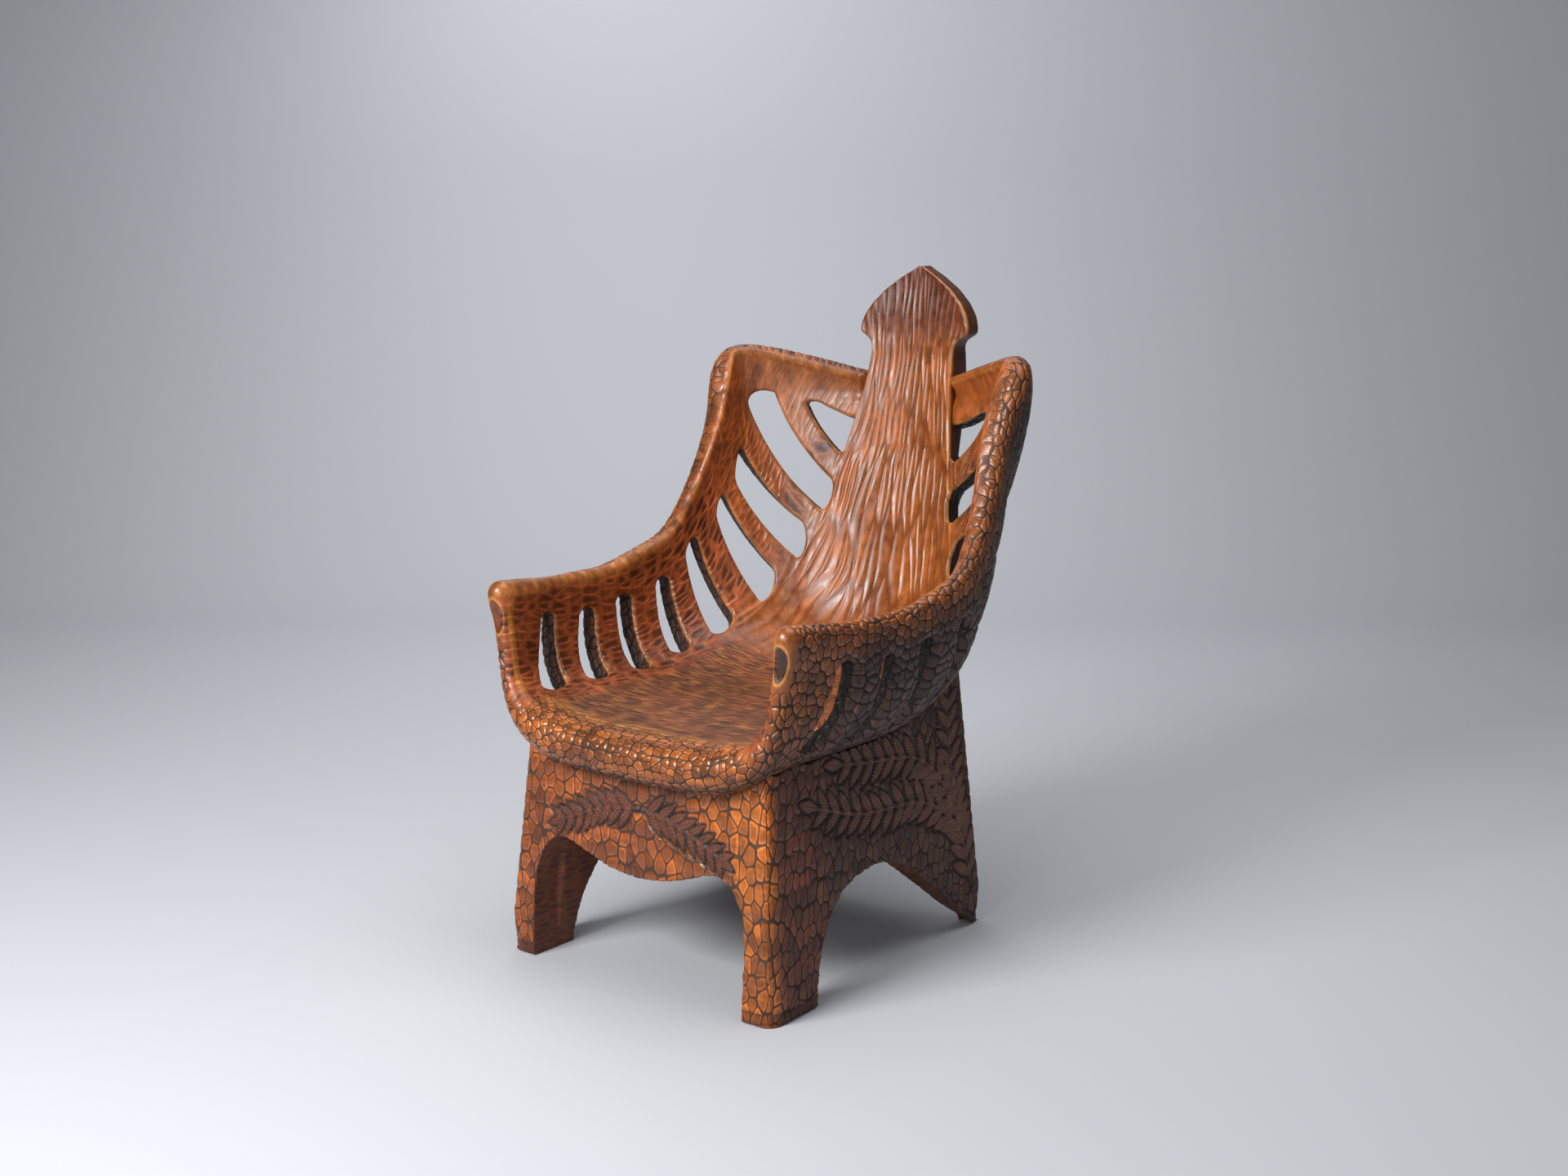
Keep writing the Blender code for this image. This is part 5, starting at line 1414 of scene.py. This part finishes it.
def make_tub():
    points, quads, caps = tub()
    depth, facts = carve_tub(points)
    places = points.place - points.out * depth[:, None]
    arrays = (places, quads, caps, facts)
    upright = wood("carved_walls", UPRIGHT_GRAIN)
    seat_wood = wood("carved_seat", WIDTH_GRAIN, 0.8)
    planes = box_planes((-BACK_SEAM_X, BACK_SEAM_Y, None), (BACK_SEAM_X, None, None))
    centre = parted("back_centre", arrays, planes)
    finial = build_mesh("finial", *splat())
    centre.from_mesh(finial)
    bpy.data.meshes.remove(finial)
    add_piece("back_centre_board", centre, wood("carved_back", UPRIGHT_GRAIN, 0.30))
    planes = box_planes((-SEAT_SEAM_X, None, None), (SEAT_SEAM_X, BACK_SEAM_Y, None))
    add_piece("seat_board_centre", parted("seat_centre", arrays, planes), seat_wood)
    for side, sign in (("left", 1.0), ("right", -1.0)):
        regions = (
            ("corner_stave", BACK_SEAM_X, None, BACK_SEAM_Y, None, upright, "carved_wood_back"),
            ("side_stave", WALL_SEAM_X, None, ARM_SEAM_Y, BACK_SEAM_Y, upright, "carved_wood_walls"),
            ("arm_stave", WALL_SEAM_X, None, None, ARM_SEAM_Y, upright, "carved_wood_walls"),
            ("seat_board", SEAT_SEAM_X, WALL_SEAM_X, None, BACK_SEAM_Y, seat_wood, "carved_wood_seat"),
        )
        for stem, near, far, front, rear, material, slot in regions:
            ends = (near, far) if sign > 0 else (None if far is None else -far, -near)
            planes = box_planes((ends[0], front, None), (ends[1], rear, None))
            add_piece(f"{stem}_{side}", parted(stem, arrays, planes), material)


def mitre(sign, front):
    """A corner's mitre plane: a point, and the normal that points to the side board."""
    face = front_y if front else rear_y
    foot, top = (np.array((sign * side_x(face(z), z), face(z), z)) for z in (0.0, 0.4))
    end_normal = np.array((0.0, -1.0, FRONT_LEAN)) if front else np.array((0.0, 1.0, REAR_LEAN))
    side_normal = unit(np.array((sign, SIDE_TAPER, SIDE_LEAN)))
    inward = -(unit(end_normal) + side_normal)
    normal = unit(np.cross(top - foot, inward))
    if normal @ side_normal < 0.0:
        normal = -normal
    return foot, normal


def make_base():
    place, out, quads = base_points()
    place, facts = carve_base(place, out)
    place[:, 2] = np.maximum(place[:, 2], 0.0)
    arrays = (place, quads, [], facts)
    wide, deep = wood("base_ends", WIDTH_GRAIN), wood("base_sides", DEPTH_GRAIN)
    # Each board lies on one side of two mitres, by their side and whether they are in front, and in one half.
    boards = (
        ("base_front_board", wide, 1.0, ((1.0, True), (-1.0, True)), (0.0, 1.0, 0.0)),
        ("base_rear_board", wide, 1.0, ((1.0, False), (-1.0, False)), (0.0, -1.0, 0.0)),
        ("base_side_board_left", deep, -1.0, ((1.0, True), (1.0, False)), (-1.0, 0.0, 0.0)),
        ("base_side_board_right", deep, -1.0, ((-1.0, True), (-1.0, False)), (1.0, 0.0, 0.0)),
    )
    for name, material, way, corners, half in boards:
        planes = []
        for sign, front in corners:
            foot, normal = mitre(sign, front)
            planes.append((foot - way * normal * GLUE_GAP / 2.0, way * normal))
        planes.append(((0.0, 0.0, 0.0), half))
        add_piece(name, parted(name, arrays, planes), material)


# Stage.

EYE = Vector((1.9510, -2.3751 - BACK_SHIFT, 1.1439))
AZIMUTH = math.radians(38.48)
PITCH = math.radians(10.29)
FOCAL_PIXELS = 2377.3
PHOTO_WIDTH = 1920.0
SENSOR = 36.0
FLOOR_COLOUR = (0.572, 0.585, 0.618, 1.0)
FLOOR_FRONT = -5.0
FLOOR_BEND = 2.6
BEND_RADIUS = 1.4
BEND_STEPS = 24
BACKDROP_HEIGHT = 6.0
FLOOR_HALF_WIDTH = 9.0
SKY_COLOUR = (0.86, 0.92, 1.0, 1.0)
SKY_STRENGTH = 0.115
CHAIR_MIDDLE = (0.0, 0.0, 0.5)
# Lights: name, place, what they face, sizes and power.
LIGHTS = (
    ("key", (-0.5, -2.9, 2.3), CHAIR_MIDDLE, (1.3, 1.1), 107.0),
    ("top", (0.4, 0.2, 3.2), CHAIR_MIDDLE, (2.2, 2.2), 42.0),
    ("sheen", (0.33, -2.00, 1.14), (-0.15, 0.30, 0.89), (1.0, 0.8), 12.0),
    ("fill", (2.8, -0.6, 1.5), CHAIR_MIDDLE, (1.6, 1.6), 3.0),
    ("backdrop", (-1.9, 1.5, 2.6), (-1.7, 3.0, 0.6), (2.4, 2.0), 31.0),
)


def make_camera():
    data = bpy.data.cameras.new("camera")
    data.sensor_fit = "HORIZONTAL"
    data.sensor_width = SENSOR
    data.lens = FOCAL_PIXELS / PHOTO_WIDTH * SENSOR
    data.dof.use_dof = False
    camera = bpy.data.objects.new("camera", data)
    level = math.cos(PITCH)
    back = Vector((math.sin(AZIMUTH) * level, -math.cos(AZIMUTH) * level, math.sin(PITCH)))
    right = Vector((math.cos(AZIMUTH), math.sin(AZIMUTH), 0.0))
    turn = Matrix((right, back.cross(right), back)).transposed().to_4x4()
    camera.matrix_world = Matrix.Translation(EYE) @ turn
    bpy.context.scene.collection.objects.link(camera)
    bpy.context.scene.camera = camera


def make_floor():
    """A pale floor that bends up into a backdrop behind the chair."""
    ahead = Vector((-math.sin(AZIMUTH), math.cos(AZIMUTH), 0.0))
    aside = Vector((math.cos(AZIMUTH), math.sin(AZIMUTH), 0.0))
    profile = [(FLOOR_FRONT, 0.0), (FLOOR_BEND, 0.0)]
    for k in range(1, BEND_STEPS + 1):
        angle = math.pi / 2.0 * k / BEND_STEPS
        profile.append((FLOOR_BEND + BEND_RADIUS * math.sin(angle), BEND_RADIUS * (1.0 - math.cos(angle))))
    profile.append((FLOOR_BEND + BEND_RADIUS, BACKDROP_HEIGHT))
    verts = []
    for far, height in profile:
        for out in (-FLOOR_HALF_WIDTH, FLOOR_HALF_WIDTH):
            verts.append(ahead * far + aside * out + Vector((0.0, 0.0, height)))
    faces = [(2 * k, 2 * k + 1, 2 * k + 3, 2 * k + 2) for k in range(len(profile) - 1)]
    mesh = bpy.data.meshes.new("floor")
    mesh.from_pydata(verts, [], faces)
    mesh.shade_smooth()
    paper = bpy.data.materials.new("paper")
    board = Board(paper)
    board.put(board.shader, {"Base Color": FLOOR_COLOUR, "Roughness": 0.85, "Specular IOR Level": 0.2})
    mesh.materials.append(paper)
    floor = bpy.data.objects.new("floor", mesh)
    bpy.context.scene.collection.objects.link(floor)


def soft_light(name, place, target, size, power):
    data = bpy.data.lights.new(name, "AREA")
    data.shape = "RECTANGLE"
    data.size, data.size_y = size
    data.energy = power
    light = bpy.data.objects.new(name, data)
    light.location = place
    light.visible_camera = False
    light.rotation_mode = "QUATERNION"
    light.rotation_quaternion = (Vector(target) - Vector(place)).to_track_quat("-Z", "Y")
    bpy.context.scene.collection.objects.link(light)


def make_light():
    for light in LIGHTS:
        soft_light(*light)
    world = bpy.data.worlds.new("studio")
    world.use_nodes = True
    sky = world.node_tree.nodes["Background"]
    sky.inputs["Color"].default_value = SKY_COLOUR
    sky.inputs["Strength"].default_value = SKY_STRENGTH
    bpy.context.scene.world = world
    bpy.context.scene.view_settings.view_transform = "Standard"


make_tub()
make_base()
beech = dowel_wood()
for node_name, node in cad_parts.items():
    if "dowel" in node_name:
        node.data.materials.clear()
        node.data.materials.append(beech)
make_floor()
make_camera()
make_light()
